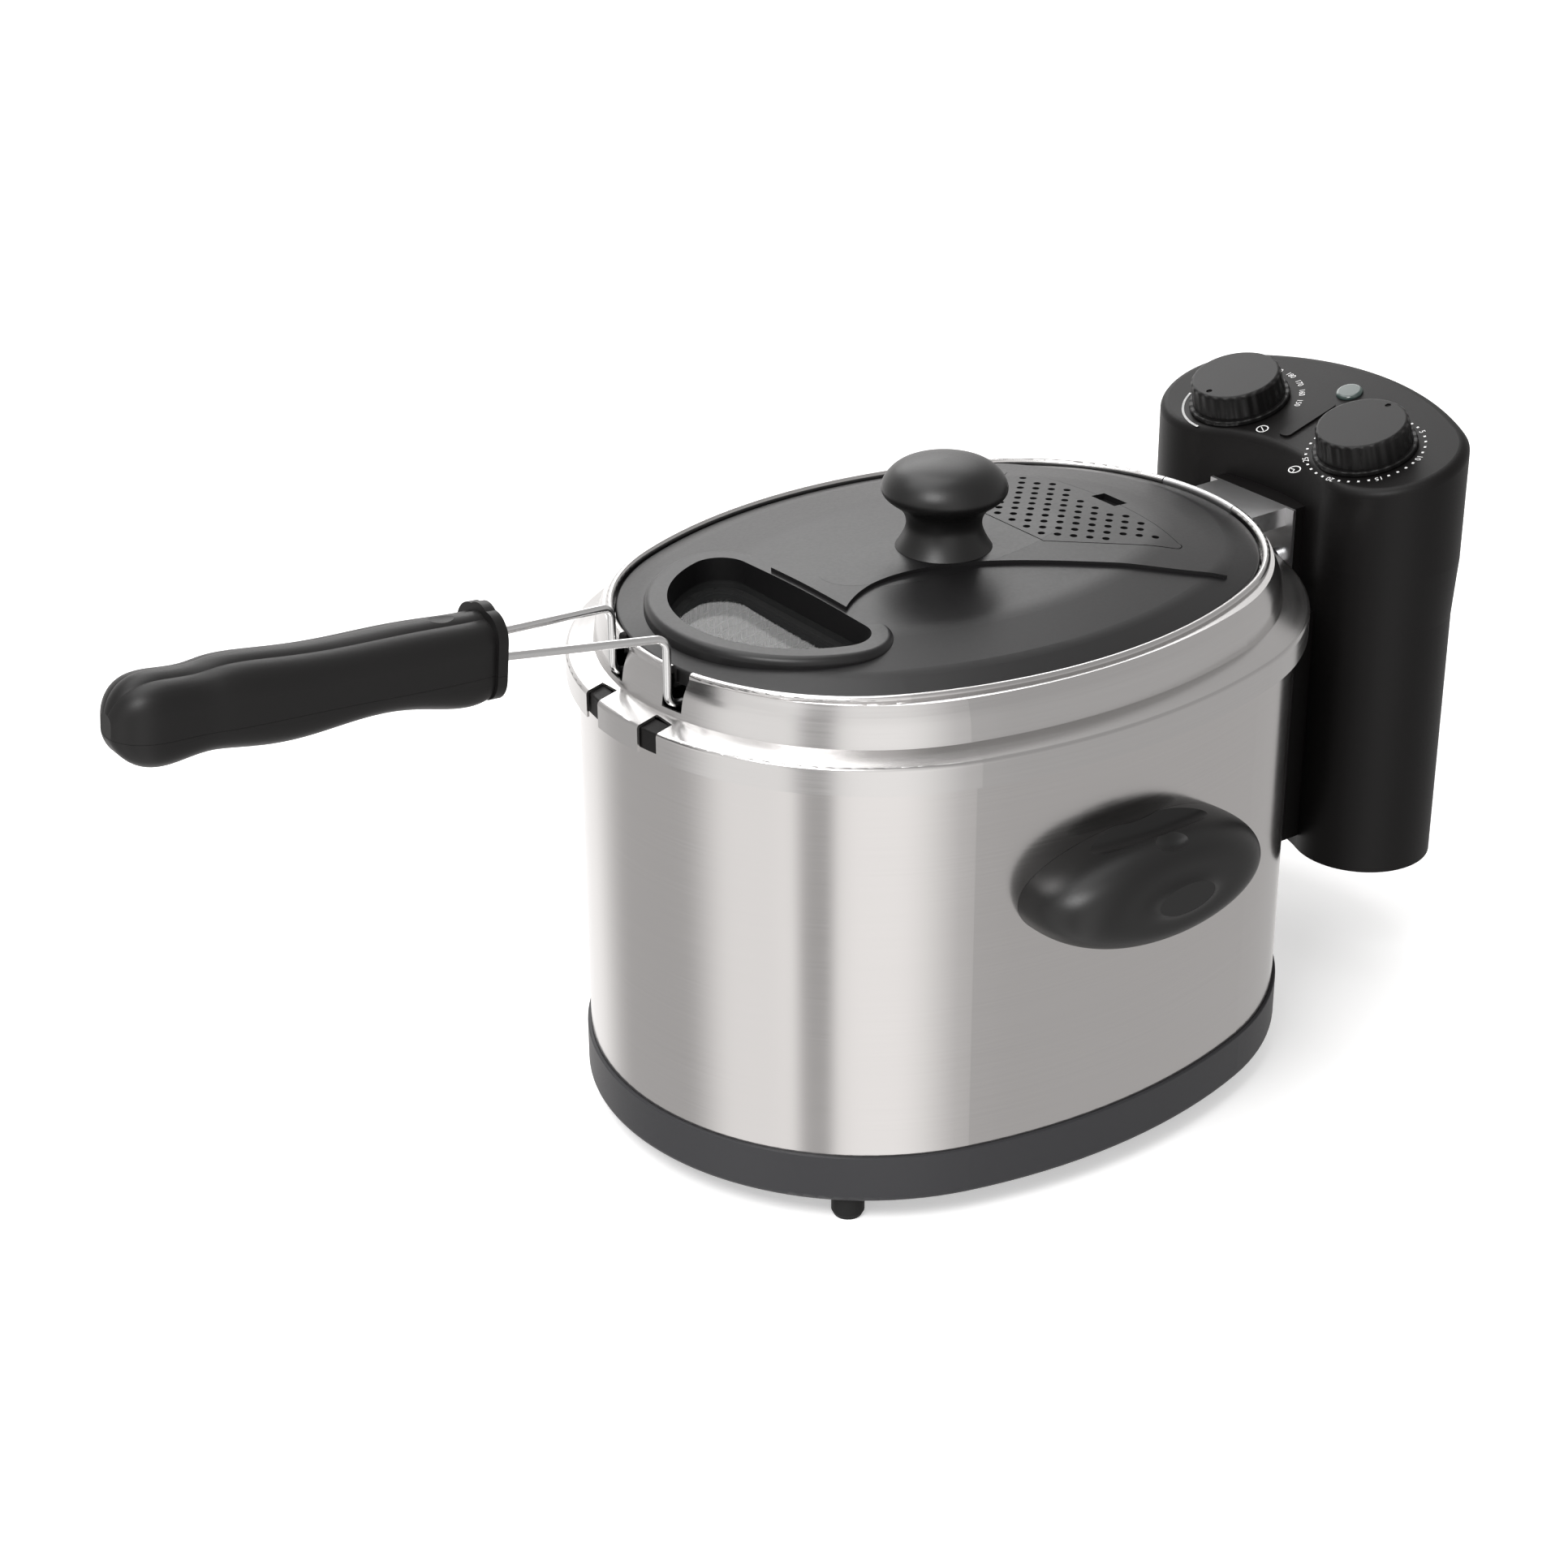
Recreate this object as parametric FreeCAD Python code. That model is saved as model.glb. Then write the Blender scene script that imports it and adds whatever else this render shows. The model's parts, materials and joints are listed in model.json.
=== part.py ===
import FreeCAD, Part
import math
import os

V = FreeCAD.Vector
ZERO = V(0, 0, 0)
UP = V(0, 0, 1)

# Sizes in millimetres and degrees. The pot's oval is centred on x = 0, y = 0
# while the pieces are made; every piece is then moved by POT_X on export.

# Housing and base
HOUSING_HALF_LENGTH = 150.0
HOUSING_HALF_WIDTH = 117.5
HOUSING_END_TIGHTER = 5.5
HOUSING_END_R = HOUSING_HALF_WIDTH - HOUSING_END_TIGHTER
SHELL_SHEET = 1.0
SHELL_SEAT_Z = 24.0
SHELL_TOP_Z = 192.0
SHELL_FLANGE = 10.0
SHELL_FLANGE_R = 1.5
FOOT_H = 10.0
FOOT_R = 6.5
FOOT_END_IN = 44.0
FOOT_SIDE_IN = 38.5
FOOT_X = HOUSING_HALF_LENGTH - FOOT_END_IN
FOOT_Y = HOUSING_HALF_WIDTH - FOOT_SIDE_IN
STEM_R = 3.0
TRAY_FLOOR = 2.5
BAND_TOP_Z = 30.4
BAND_PROUD = 1.5
BAND_EDGE_R = 3.0
BAND_INNER = 4.0
TRAY_BOSS_R = 4.0
TRAY_BOSS_IN = 6.0
BASE_SCREW_R = 1.5
BASE_SCREW_HEAD_R = 2.8
BASE_SCREW_HEAD_H = 2.0
BASE_SCREW_L = 20.0

# Collar on the housing's top edge
COLLAR_LEG = 3.0
COLLAR_INNER_LEG = 2.8
COLLAR_GAP = 0.2
COLLAR_DEPTH = 8.0
COLLAR_UNDER_SHOULDER = 0.4

# Carrying lugs
LUG_LENGTH = 106.0
LUG_HEIGHT = 46.0
LUG_PROUD = 29.5
LUG_Z = 132.0
LUG_ROOT = 16.0
LUG_DROOP = 1.0
LUG_MID_SHARE = 0.98
LUG_OUTER_SHARE = 0.88
LUG_BROW_SHARE = 0.62
LUG_TIP_SHARE = 0.26
LUG_SEAT_GAP = 0.05
GROOVE_HALF_LENGTH = 52.0
GROOVE_R = 8.5
GROOVE_PROUD = 7.5
GROOVE_DROP = 6.0
SCOOP_HALF_LENGTH = 15.0
SCOOP_R = 9.0
SCOOP_PROUD = 22.0
SCOOP_DROP = 1.6
LUG_SCREW_ANGLE = 5.6
LUG_SCREW_R = 2.0
LUG_SCREW_HEAD_R = 4.0
LUG_SCREW_HEAD_H = 2.4
LUG_SCREW_L = 16.0

# Bowl
RIM_END_IN = 14.0
RIM_SIDE_IN = 16.8
LID_END_TIGHTER = 9.7
LID_HALF_LENGTH = HOUSING_HALF_LENGTH - RIM_END_IN
LID_HALF_WIDTH = HOUSING_HALF_WIDTH - RIM_SIDE_IN
LID_END_R = LID_HALF_WIDTH - LID_END_TIGHTER
BOWL_SHEET = 1.0
BOWL_FLOOR_Z = 46.0
BOWL_CORNER_R = 14.0
BOWL_IN = 5.0
BOWL_FLOOR_IN = 35.0
BOWL_SEAM_Z = 194.0
BOWL_SEAM_GAP = 0.05
LEDGE_Z = 208.5
BEAD_TOP_Z = 216.8
BEAD_W = 3.2
BEAD_H = 3.2
BEAD_R = 1.5
LID_GAP = 0.8
SKIRT_OUT = 4.75
SKIRT_BOTTOM_Z = 186.2
SKIRT_TOP_Z = 196.8
SKIRT_R = 1.8
SHOULDER_IN = 7.0
SHOULDER_TOP_Z = 199.6
WALL_IN = 6.0
WALL_SINK = 0.5
WALL_MID_IN = 7.2
WALL_MID_Z = 208.0
WALL_MID_R = 20.0
WALL_TOP_IN = 10.4
DECK_Z = 214.9
SLOT_W = 10.0
SLOT_SEAT_GAP = 0.4

# Basket, its wires and its grip
BASKET_IN = 22.0
BASKET_SHEET = 1.2
BASKET_FLOOR_Z = 80.0
BASKET_TOP_Z = 199.0
BASKET_CORNER_R = 12.0
RIM_WIRE_R = 2.0
RIM_WIRE_FLAT = 0.1
RIM_WIRE_GAP = 0.1
WIRE_R = 1.6
WIRE_Z = 203.85
WIRE_Y = 18.2
WIRE_START_IN = 32.0
WIRE_RISE_OUT = 7.4
WIRE_START_X = WIRE_START_IN - LID_HALF_LENGTH
WIRE_RISE_X = -LID_HALF_LENGTH - WIRE_RISE_OUT
WIRE_BEND_Z = 230.7
WIRE_BEND_R = 5.0
WIRE_FIT = 0.05
WIRE_BORE_CLEAR = 0.5
GRIP_WIRE_OUT = 51.5
GRIP_WIRE_X = -HOUSING_HALF_LENGTH - GRIP_WIRE_OUT
GRIP_WIRE_Y = 11.1
GRIP_WIRE_Z = 237.4
GRIP_WIRE_DEPTH = 0.55
GRIP_START_OUT = 57.8
GRIP_REACH_OUT = 204.0
GRIP_END_SHORT = 0.48
GRIP_START_X = -HOUSING_HALF_LENGTH - GRIP_START_OUT
GRIP_REACH = HOUSING_HALF_LENGTH + GRIP_REACH_OUT
GRIP_END = GRIP_REACH - GRIP_END_SHORT
GRIP_TIP_Z = 250.0
GRIP_SEAM_DROP = 5.0
GRIP_SEAM_GAP = 0.1
GRIP_COLLAR_L = 4.0
GRIP_COLLAR_W = 29.0
GRIP_COLLAR_H = 33.0
GRIP_ROOT_W = 25.0
GRIP_ROOT_H = 28.0
GRIP_PALM_W = 28.0
GRIP_PALM_H = 30.0
GRIP_WAIST_H = 27.0
GRIP_LOW_WAIST_H = 29.0
GRIP_CORNER = 0.66
GRIP_CROWN = 1.6
GRIP_NOSE = 0.90
GRIP_WAVE = 1.4
THUMB_R = 13.0
THUMB_DEPTH = 1.0
THUMB_SHARE = 0.13
GRIP_SCREW_R = 1.5
GRIP_SCREW_HEAD_R = 3.0
GRIP_SCREW_HEAD_H = 2.0
GRIP_SCREW_UP = 6.0
GRIP_SCREW_NEAR = 0.48
GRIP_SCREW_FAR = 0.78

# Lid
LID_EDGE_Z = 214.6
LID_SEAT_GAP = 0.3
LID_SHEET = 2.5
LID_EDGE_R = 1.5
DOME_HIP_IN = 12.0
DOME_HIP_Z = 218.6
DOME_HIP_R = 25.0
DOME_MID_IN = 40.0
DOME_MID_Z = 222.9
DOME_MID_R = 80.0
DOME_TOP_IN = 78.0
DOME_TOP_Z = 224.6
PLATEAU_RISE = 1.5
PLATEAU_START_IN = 70.0
PLATEAU_START_X = PLATEAU_START_IN - LID_HALF_LENGTH
PLATEAU_START_Y = 24.0
PLATEAU_NECK_X = -32.0
PLATEAU_NECK_Y = 12.0
PLATEAU_HIP_X = 16.0
PLATEAU_HIP_Y = 30.0
PLATEAU_END_IN = 56.0
PLATEAU_SIDE_IN = 24.7
PLATEAU_BULGE_IN = 30.0
PLATEAU_END_X = LID_HALF_LENGTH - PLATEAU_END_IN
PLATEAU_END_Y = LID_HALF_WIDTH - PLATEAU_SIDE_IN
PLATEAU_BULGE_X = LID_HALF_LENGTH - PLATEAU_BULGE_IN
WINDOW_END_IN = 68.0
WINDOW_X = WINDOW_END_IN - LID_HALF_LENGTH
WINDOW_R = 52.0
WINDOW_CORNER_R = 12.0
BEZEL_W = 9.0
BEZEL_TOP_Z = 223.2
BEZEL_EDGE_R = 3.0
BEZEL_BOTTOM_Z = 207.5
SEAT_W = 4.0
SEAT_TOP_Z = 209.6
GASKET_H = 1.2
GASKET_W = 3.6
PANE_H = 3.0
PANE_FIT = 0.3
FAN_X = 34.0
FAN_Y = 20.0
FAN_END_IN = 57.0
FAN_SIDE_IN = 45.7
FAN_BULGE_IN = 50.0
FAN_END_X = LID_HALF_LENGTH - FAN_END_IN
FAN_END_Y = LID_HALF_WIDTH - FAN_SIDE_IN
FAN_BULGE_X = LID_HALF_LENGTH - FAN_BULGE_IN
FAN_CORNER_IN = 5.0
FAN_FIT = 0.35
FAN_WALL = 2.2
FAN_SEAT_W = 3.0
FAN_BOTTOM_Z = 208.0
FAN_FLOOR = 1.6
MAT_H = 6.0
FINGER_IN = 50.0
FINGER_X = LID_HALF_LENGTH - FINGER_IN
FINGER_W = 14.0
FINGER_L = 7.0
HOLE_R = 1.5
HOLE_PITCH = 9.0
HOLE_MARGIN = 4.5
LID_KNOB_BASE_R = 19.1
LID_KNOB_NECK_R = 14.9
LID_KNOB_CAP_R = 24.7
LID_KNOB_NECK_UP = 10.0
LID_KNOB_CAP_UP = 23.6
LID_KNOB_H = 36.4
LID_KNOB_SCREW_R = 2.0
LID_KNOB_SCREW_HEAD_R = 5.0
LID_KNOB_SCREW_HEAD_H = 2.5
LID_KNOB_SCREW_UP = 14.0

# Control head
HEAD_OUT = 48.8
HEAD_X = HOUSING_HALF_LENGTH + HEAD_OUT
LOBE_R = 31.0
LOBE_Y = 47.5
HEAD_BACK = 42.4
HEAD_WAIST = 21.8
HEAD_BOTTOM_Z = 53.5
HEAD_INSET = 1.5
HEAD_WALL = 2.5
FLARE_LOW_Z = 165.0
FLARE_HIGH_Z = 190.0
PANEL_Z = 235.2
PANEL_SLOPE = 16.0
PANEL_EDGE_R = 4.0
NECK_HALF_W = 36.0
NECK_OUT = 6.0
NECK_BOTTOM_Z = 60.0
NECK_TOP_Z = 166.0
BOSS_HALF_W = 24.0
BOSS_BOTTOM_Z = 172.0
COVER_U = 24.0
COVER_TOP_Z = 150.0
COVER_GAP = 0.2
COVER_LIP = 2.0
COVER_SCREW_Y = 22.0
COVER_SCREW_LOW_Z = 110.0
COVER_SCREW_R = 1.5
COVER_SCREW_HEAD_R = 3.0
COVER_SCREW_HEAD_H = 2.0
COVER_POST_R = 4.0
DIAL_U = -5.8
DIAL_V = 37.4
DIAL_R = 20.0
DIAL_TOP_R = 19.2
DIAL_FLANGE_R = 21.8
DIAL_FLANGE_H = 1.8
DIAL_H = 13.0
DIAL_GAP = 0.6
DIAL_WALL = 2.0
DIAL_STEM_R = 6.0
DIAL_DOT_R = 1.3
DIAL_DOT_AT = 15.5
DIAL_DOT_H = 0.6
SHAFT_R = 3.0
SHAFT_UP = 10.0
SHAFT_DOWN = 14.0
SHAFT_FLAT = 2.2
SHAFT_RUN_FIT = 0.05
BUSHING_R = 4.9
BUSHING_UP = 0.3
REGULATOR_U = 24.0
REGULATOR_V = 26.0
REGULATOR_H = 22.0
TIMER_R = 13.0
TIMER_H = 26.0
LENS_U = 23.0
LENS_R = 4.8
LENS_FLANGE_R = 5.8
LENS_UP = 1.6
LENS_TUBE = 12.0
LAMP_R = 3.0
LAMP_L = 14.0
RIB_W = 6.0
RIB_L = 30.0
RIB_UP = 1.0
RIB_U = -2.0

# Element and its bracket
TUBE_R = 3.5
TUBE_Y = 14.0
TUBE_Z = 203.9
TUBE_LEG_IN = 14.0
TUBE_END_OUT = 40.0
TUBE_LEG_X = LID_HALF_LENGTH - TUBE_LEG_IN
TUBE_END_X = HOUSING_HALF_LENGTH + TUBE_END_OUT
LOOP_Z = 60.0
LOOP_NEAR_IN = 41.0
LOOP_FAR_IN = 51.0
LOOP_SIDE_IN = 48.7
LOOP_NEAR_X = LID_HALF_LENGTH - LOOP_NEAR_IN
LOOP_FAR_X = LOOP_FAR_IN - LID_HALF_LENGTH
LOOP_HALF_W = LID_HALF_WIDTH - LOOP_SIDE_IN
TUBE_BEND_R = 8.5
LOOP_SMALL_R = 22.0
LOOP_LARGE_R = 40.0
PIN_R = 1.2
PIN_L = 7.0
PLATE_OUT = 16.5
PLATE_X = HOUSING_HALF_LENGTH + PLATE_OUT
PLATE_T = 1.5
PLATE_HALF_W = 25.0
PLATE_BOTTOM_Z = 176.0
ARM_HALF_W = 20.5
ARM_SHEET = 1.0
ARM_CLEAR = 0.3
ARM_BOTTOM_Z = 200.6
ARM_START_IN = 18.0
ARM_START_X = LID_HALF_LENGTH - ARM_START_IN
NOTCH_CLEAR = 0.5
BRACKET_SCREW_Y = 17.0
BRACKET_SCREW_Z = 186.0
BRACKET_SCREW_R = 2.0
BRACKET_SCREW_HEAD_R = 3.8
BRACKET_SCREW_HEAD_H = 2.2
NUT_R = 4.0
NUT_H = 3.0
CHASSIS_OUT = 32.0
CHASSIS_X = HOUSING_HALF_LENGTH + CHASSIS_OUT
CHASSIS_T = 1.5
CHASSIS_HALF_W = 26.0
CHASSIS_BOTTOM_Z = 80.0
CHASSIS_TOP_Z = 197.0
BULB_R = 3.0
BULB_START_X = -10.0
BULB_END_X = 55.0
BULB_IN = 10.0
BULB_Y = BULB_IN - LOOP_HALF_W
CAPILLARY_R = 0.9
CLIP_SHEET = 0.8
CLIP_L = 10.0
CLIP_X = 20.0
TERMINAL_W = 36.0
TERMINAL_D = 14.0
TERMINAL_H = 18.0
TERMINAL_Z = 128.0
TERMINAL_POLES = 3
TERMINAL_HOLE_R = 2.0
SWITCH_W = 10.0
SWITCH_D = 16.0
SWITCH_H = 22.0
SWITCH_Z = 96.0
PLUNGER_R = 2.0
PLUNGER_GAP = 5.7
PLUNGER_CLEAR = 0.4
BUSH_Z = 76.0
BUSH_R = 7.0
BUSH_FLANGE_R = 9.5
BUSH_FLANGE_H = 2.5
BUSH_BORE_R = 3.7
BUSH_BACK = 12.0
BUSH_LIP = 1.0

# Fits and tool reach
SCREW_FIT = 0.05
SCREW_CLEAR = 0.25
PART_GAP = 0.1
FUSE_LAP = 0.5
FAR = 400.0

HEAD_REACH = HEAD_X + HEAD_BACK
POT_X = (GRIP_REACH - HEAD_REACH) / 2.0

os.makedirs("parts", exist_ok=True)


def arc(a, m, b):
    """Arc edge through three points."""
    return Part.Arc(a, m, b).toShape()


def seg(a, b):
    """Straight edge between two points."""
    return Part.LineSegment(a, b).toShape()


def flat_xz(x, y):
    """Place a profile's coordinates in the plane y = 0."""
    return V(x, 0, y)


def flat_xy(x, y):
    """Place a profile's coordinates in the plane z = 0."""
    return V(x, y, 0)


def rounded(corners, place):
    """Closed wire through (x, y, fillet) corners."""
    edges = []
    starts = []
    ends = []
    count = len(corners)
    for i in range(count):
        x, y, r = corners[i]
        p = V(x, y, 0)
        a = V(corners[i - 1][0], corners[i - 1][1], 0) - p
        b = V(corners[(i + 1) % count][0], corners[(i + 1) % count][1], 0) - p
        a.normalize()
        b.normalize()
        if r == 0:
            starts.append(p)
            ends.append(p)
            continue
        half = math.acos(max(-1.0, min(1.0, a.dot(b)))) / 2.0
        cut = r / math.tan(half)
        middle = a + b
        middle.normalize()
        first = p + a * cut
        mid = p + middle * (r / math.sin(half) - r)
        last = p + b * cut
        starts.append(first)
        ends.append(last)
        edges.append((i, arc(place(first.x, first.y), place(mid.x, mid.y), place(last.x, last.y))))
    arcs = dict(edges)
    chain = []
    for i in range(count):
        if i in arcs:
            chain.append(arcs[i])
        q = starts[(i + 1) % count]
        p = ends[i]
        if p.sub(q).Length > 1e-6:
            chain.append(seg(place(p.x, p.y), place(q.x, q.y)))
    return Part.Wire(chain)


def turned(corners, sweep=360.0):
    """Solid of (radius, z, fillet) corners turned about the Z axis."""
    return Part.Face(rounded(corners, flat_xz)).revolve(ZERO, UP, sweep)


def prism(corners, z0, z1):
    """Upright prism of (x, y, fillet) corners."""
    face = Part.Face(rounded(corners, flat_xy))
    face.translate(V(0, 0, z0))
    return face.extrude(V(0, 0, z1 - z0))


def block(x0, x1, y0, y1, z0, z1):
    """Box between two corners."""
    return Part.makeBox(x1 - x0, y1 - y0, z1 - z0, V(x0, y0, z0))


def rod(radius, start, end):
    """Cylinder from one point to another."""
    way = end - start
    return Part.makeCylinder(radius, way.Length, start, way)


def round_screw(shank_r, length, head_r, head_h, start, way):
    """Pan-head screw; start is under the head, way points along the shank."""
    shank = Part.makeCylinder(shank_r, length + FUSE_LAP, start - way * FUSE_LAP, way)
    head = Part.makeCylinder(head_r, head_h, start - way * head_h, way)
    socket = Part.makeCylinder(head_r * 0.45, head_h * 0.5, start - way * head_h, way)
    return shank.fuse(head).cut(socket)


def bent_rod(radius, points, bends):
    """Round rod along straight runs joined by arcs."""
    edges = []
    here = points[0]
    for i in range(1, len(points) - 1):
        a = points[i - 1] - points[i]
        b = points[i + 1] - points[i]
        a.normalize()
        b.normalize()
        half = math.acos(max(-1.0, min(1.0, a.dot(b)))) / 2.0
        cut = bends[i - 1] / math.tan(half)
        middle = a + b
        middle.normalize()
        first = points[i] + a * cut
        mid = points[i] + middle * (bends[i - 1] / math.sin(half) - bends[i - 1])
        last = points[i] + b * cut
        edges.append(seg(here, first))
        edges.append(arc(first, mid, last))
        here = last
    edges.append(seg(here, points[-1]))
    path = Part.Wire(edges)
    ring = Part.Wire([Part.makeCircle(radius, points[0], points[1] - points[0])])
    return path.makePipeShell([ring], True, False)


class Oval:
    """Two end arcs and two flatter side arcs, all tangent."""

    def __init__(self, half_length, half_width, end_r):
        self.end_r = end_r
        self.end_c = half_length - end_r
        spread = self.end_c ** 2 + half_width ** 2 - end_r ** 2
        self.side_r = spread / (2.0 * (half_width - end_r))
        self.side_c = self.side_r - half_width
        self.turn = math.atan2(self.side_c, self.end_c)

    def wire(self, offset, z):
        """Outline grown by an offset, at a height."""
        r = self.end_r + offset
        tx = self.end_c + r * math.cos(self.turn)
        ty = r * math.sin(self.turn)
        ex = self.end_c + r
        sy = self.side_r + offset - self.side_c
        right = arc(V(tx, -ty, z), V(ex, 0, z), V(tx, ty, z))
        back = arc(V(tx, ty, z), V(0, sy, z), V(-tx, ty, z))
        left = arc(V(-tx, ty, z), V(-ex, 0, z), V(-tx, -ty, z))
        front = arc(V(-tx, -ty, z), V(0, -sy, z), V(tx, -ty, z))
        return Part.Wire([right, back, left, front])

    def prism(self, offset, z0, z1):
        """Upright prism of the grown outline."""
        return Part.Face(self.wire(offset, z0)).extrude(V(0, 0, z1 - z0))

    def swing(self, corners, radius, start, sweep):
        """One stretch of a ring, about its own arc centre."""
        moved = [(radius + d, z, r) for d, z, r in corners]
        face = Part.Face(rounded(moved, flat_xz))
        face.rotate(ZERO, UP, start)
        return face.revolve(ZERO, UP, sweep)

    def ring(self, corners):
        """Ring of (offset, z, fillet) corners led round the outline."""
        turn = math.degrees(self.turn)
        end = self.swing(corners, self.end_r, -turn, 2.0 * turn)
        side = self.swing(corners, self.side_r, turn, 180.0 - 2.0 * turn)
        pieces = [side.translated(V(0, -self.side_c, 0))]
        pieces.append(end.rotated(ZERO, UP, 180).translated(V(-self.end_c, 0, 0)))
        pieces.append(side.rotated(ZERO, UP, 180).translated(V(0, self.side_c, 0)))
        return end.translated(V(self.end_c, 0, 0)).fuse(pieces).removeSplitter()


class Bean:
    """Two lobe arcs, a back arc and a hollow waist arc, all tangent."""

    def __init__(self, centre_x, lobe_r, lobe_y, back, waist):
        self.x = centre_x
        self.lobe_r = lobe_r
        self.lobe_y = lobe_y
        self.back = back
        self.waist = waist
        self.back_r = (back ** 2 + lobe_y ** 2 - lobe_r ** 2) / (2.0 * (back - lobe_r))
        self.waist_r = (waist ** 2 + lobe_y ** 2 - lobe_r ** 2) / (2.0 * (lobe_r - waist))
        self.back_turn = math.atan2(lobe_y, self.back_r - back)
        self.waist_turn = math.atan2(lobe_y, self.waist_r + waist)

    def wire(self, offset, z):
        """Outline grown by an offset, at a height."""
        r = self.lobe_r + offset
        first = self.back_turn
        last = math.pi + self.waist_turn
        middle = (first + last) / 2.0

        def lobe_point(angle, side):
            return V(self.x + r * math.cos(angle), side * (self.lobe_y + r * math.sin(angle)), z)

        waist = V(self.x - self.waist - offset, 0, z)
        back = V(self.x + self.back + offset, 0, z)
        far = arc(lobe_point(first, 1), lobe_point(middle, 1), lobe_point(last, 1))
        hollow = arc(lobe_point(last, 1), waist, lobe_point(last, -1))
        near = arc(lobe_point(last, -1), lobe_point(middle, -1), lobe_point(first, -1))
        rear = arc(lobe_point(first, -1), back, lobe_point(first, 1))
        return Part.Wire([far, hollow, near, rear])

    def prism(self, offset, z0, z1):
        """Upright prism of the grown outline."""
        return Part.Face(self.wire(offset, z0)).extrude(V(0, 0, z1 - z0))


HOUSING = Oval(HOUSING_HALF_LENGTH, HOUSING_HALF_WIDTH, HOUSING_END_R)
LID = Oval(LID_HALF_LENGTH, LID_HALF_WIDTH, LID_END_R)
HEAD = Bean(HEAD_X, LOBE_R, LOBE_Y, HEAD_BACK, HEAD_WAIST)

WRITTEN = []


def emit(node, shape):
    """Move a piece into the shared frame and write it."""
    placed = shape.translated(V(POT_X, 0, 0))
    placed.exportStep("parts/" + node + ".step")
    WRITTEN.append((node, len(placed.Solids), placed.isValid()))


def group(shapes):
    """Separate solids that share one node."""
    return Part.makeCompound(shapes)


def four_ways(x, y):
    """The four mirrored places of one point."""
    return [(x, y), (-x, y), (-x, -y), (x, -y)]


# Base

def base_screw_places():
    """Screws on the long and the cross axis."""
    along = HOUSING_HALF_LENGTH - TRAY_BOSS_IN
    across = HOUSING_HALF_WIDTH - TRAY_BOSS_IN
    return [(along, 0), (-along, 0), (0, across), (0, -across)]


def make_base():
    band = HOUSING.ring([
        (-BAND_INNER, FOOT_H, 0),
        (BAND_PROUD, FOOT_H, BAND_EDGE_R),
        (BAND_PROUD, BAND_TOP_Z, 0.6),
        (PART_GAP, BAND_TOP_Z, 0),
        (PART_GAP, SHELL_SEAT_Z, 0),
        (-BAND_INNER, SHELL_SEAT_Z, 0),
    ])
    tray = band.fuse(HOUSING.prism(-BAND_INNER + FUSE_LAP, FOOT_H, FOOT_H + TRAY_FLOOR))
    screws = []
    for x, y in base_screw_places():
        boss = Part.makeCylinder(TRAY_BOSS_R, SHELL_SEAT_Z - FOOT_H, V(x, y, FOOT_H))
        tray = tray.fuse(boss)
    for x, y in base_screw_places():
        seat = FOOT_H + BASE_SCREW_HEAD_H + 1.0
        tray = tray.cut(Part.makeCylinder(BASE_SCREW_R + SCREW_CLEAR, FAR, V(x, y, 0)))
        tray = tray.cut(Part.makeCylinder(BASE_SCREW_HEAD_R + SCREW_CLEAR, seat, V(x, y, 0)))
        screws.append(round_screw(BASE_SCREW_R, BASE_SCREW_L, BASE_SCREW_HEAD_R,
                                  BASE_SCREW_HEAD_H, V(x, y, seat), UP))
    feet = []
    foot = turned([
        (0, 0, 0), (FOOT_R - 1.0, 0, 0), (FOOT_R, 2.0, 0), (FOOT_R, FOOT_H, 0),
        (STEM_R, FOOT_H, 0), (STEM_R, FOOT_H + TRAY_FLOOR + PART_GAP, 0),
        (STEM_R + 1.2, FOOT_H + TRAY_FLOOR + PART_GAP, 0), (STEM_R - 1.0, FOOT_H + 6.5, 0),
        (0, FOOT_H + 6.5, 0),
    ])
    for x, y in four_ways(FOOT_X, FOOT_Y):
        tray = tray.cut(Part.makeCylinder(STEM_R + SCREW_FIT, FAR, V(x, y, 0)))
        feet.append(foot.translated(V(x, y, 0)))
    emit("base_tray", tray.removeSplitter())
    emit("feet", group(feet))
    emit("base_screws", group(screws))


# Housing

def lug_screw(angle, side):
    """Turn helper: places a shape made on the -Y axis at a lug screw."""
    def place(shape):
        turned_shape = shape.rotated(V(0, HOUSING.side_c, 0), UP, angle)
        if side > 0:
            return turned_shape.mirror(ZERO, V(0, 1, 0))
        return turned_shape
    return place


def spindle(half_length, radius):
    """Arc turned about the X axis, for finger grooves."""
    bow = arc(V(-half_length, 0, 0), V(0, radius, 0), V(half_length, 0, 0))
    chord = seg(V(half_length, 0, 0), V(-half_length, 0, 0))
    return Part.Face(Part.Wire([bow, chord])).revolve(ZERO, V(1, 0, 0), 360)


def lug_section(depth, share):
    """Ellipse across the lug at a distance out from the housing's flank."""
    centre = V(0, -(HOUSING_HALF_WIDTH + depth), LUG_Z + LUG_DROOP * depth / LUG_PROUD)
    along = V(LUG_LENGTH / 2.0 * share, 0, 0)
    above = V(0, 0, LUG_HEIGHT / 2.0 * share)
    return Part.Wire([Part.Ellipse(centre + along, centre + above, centre).toShape()])


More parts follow.
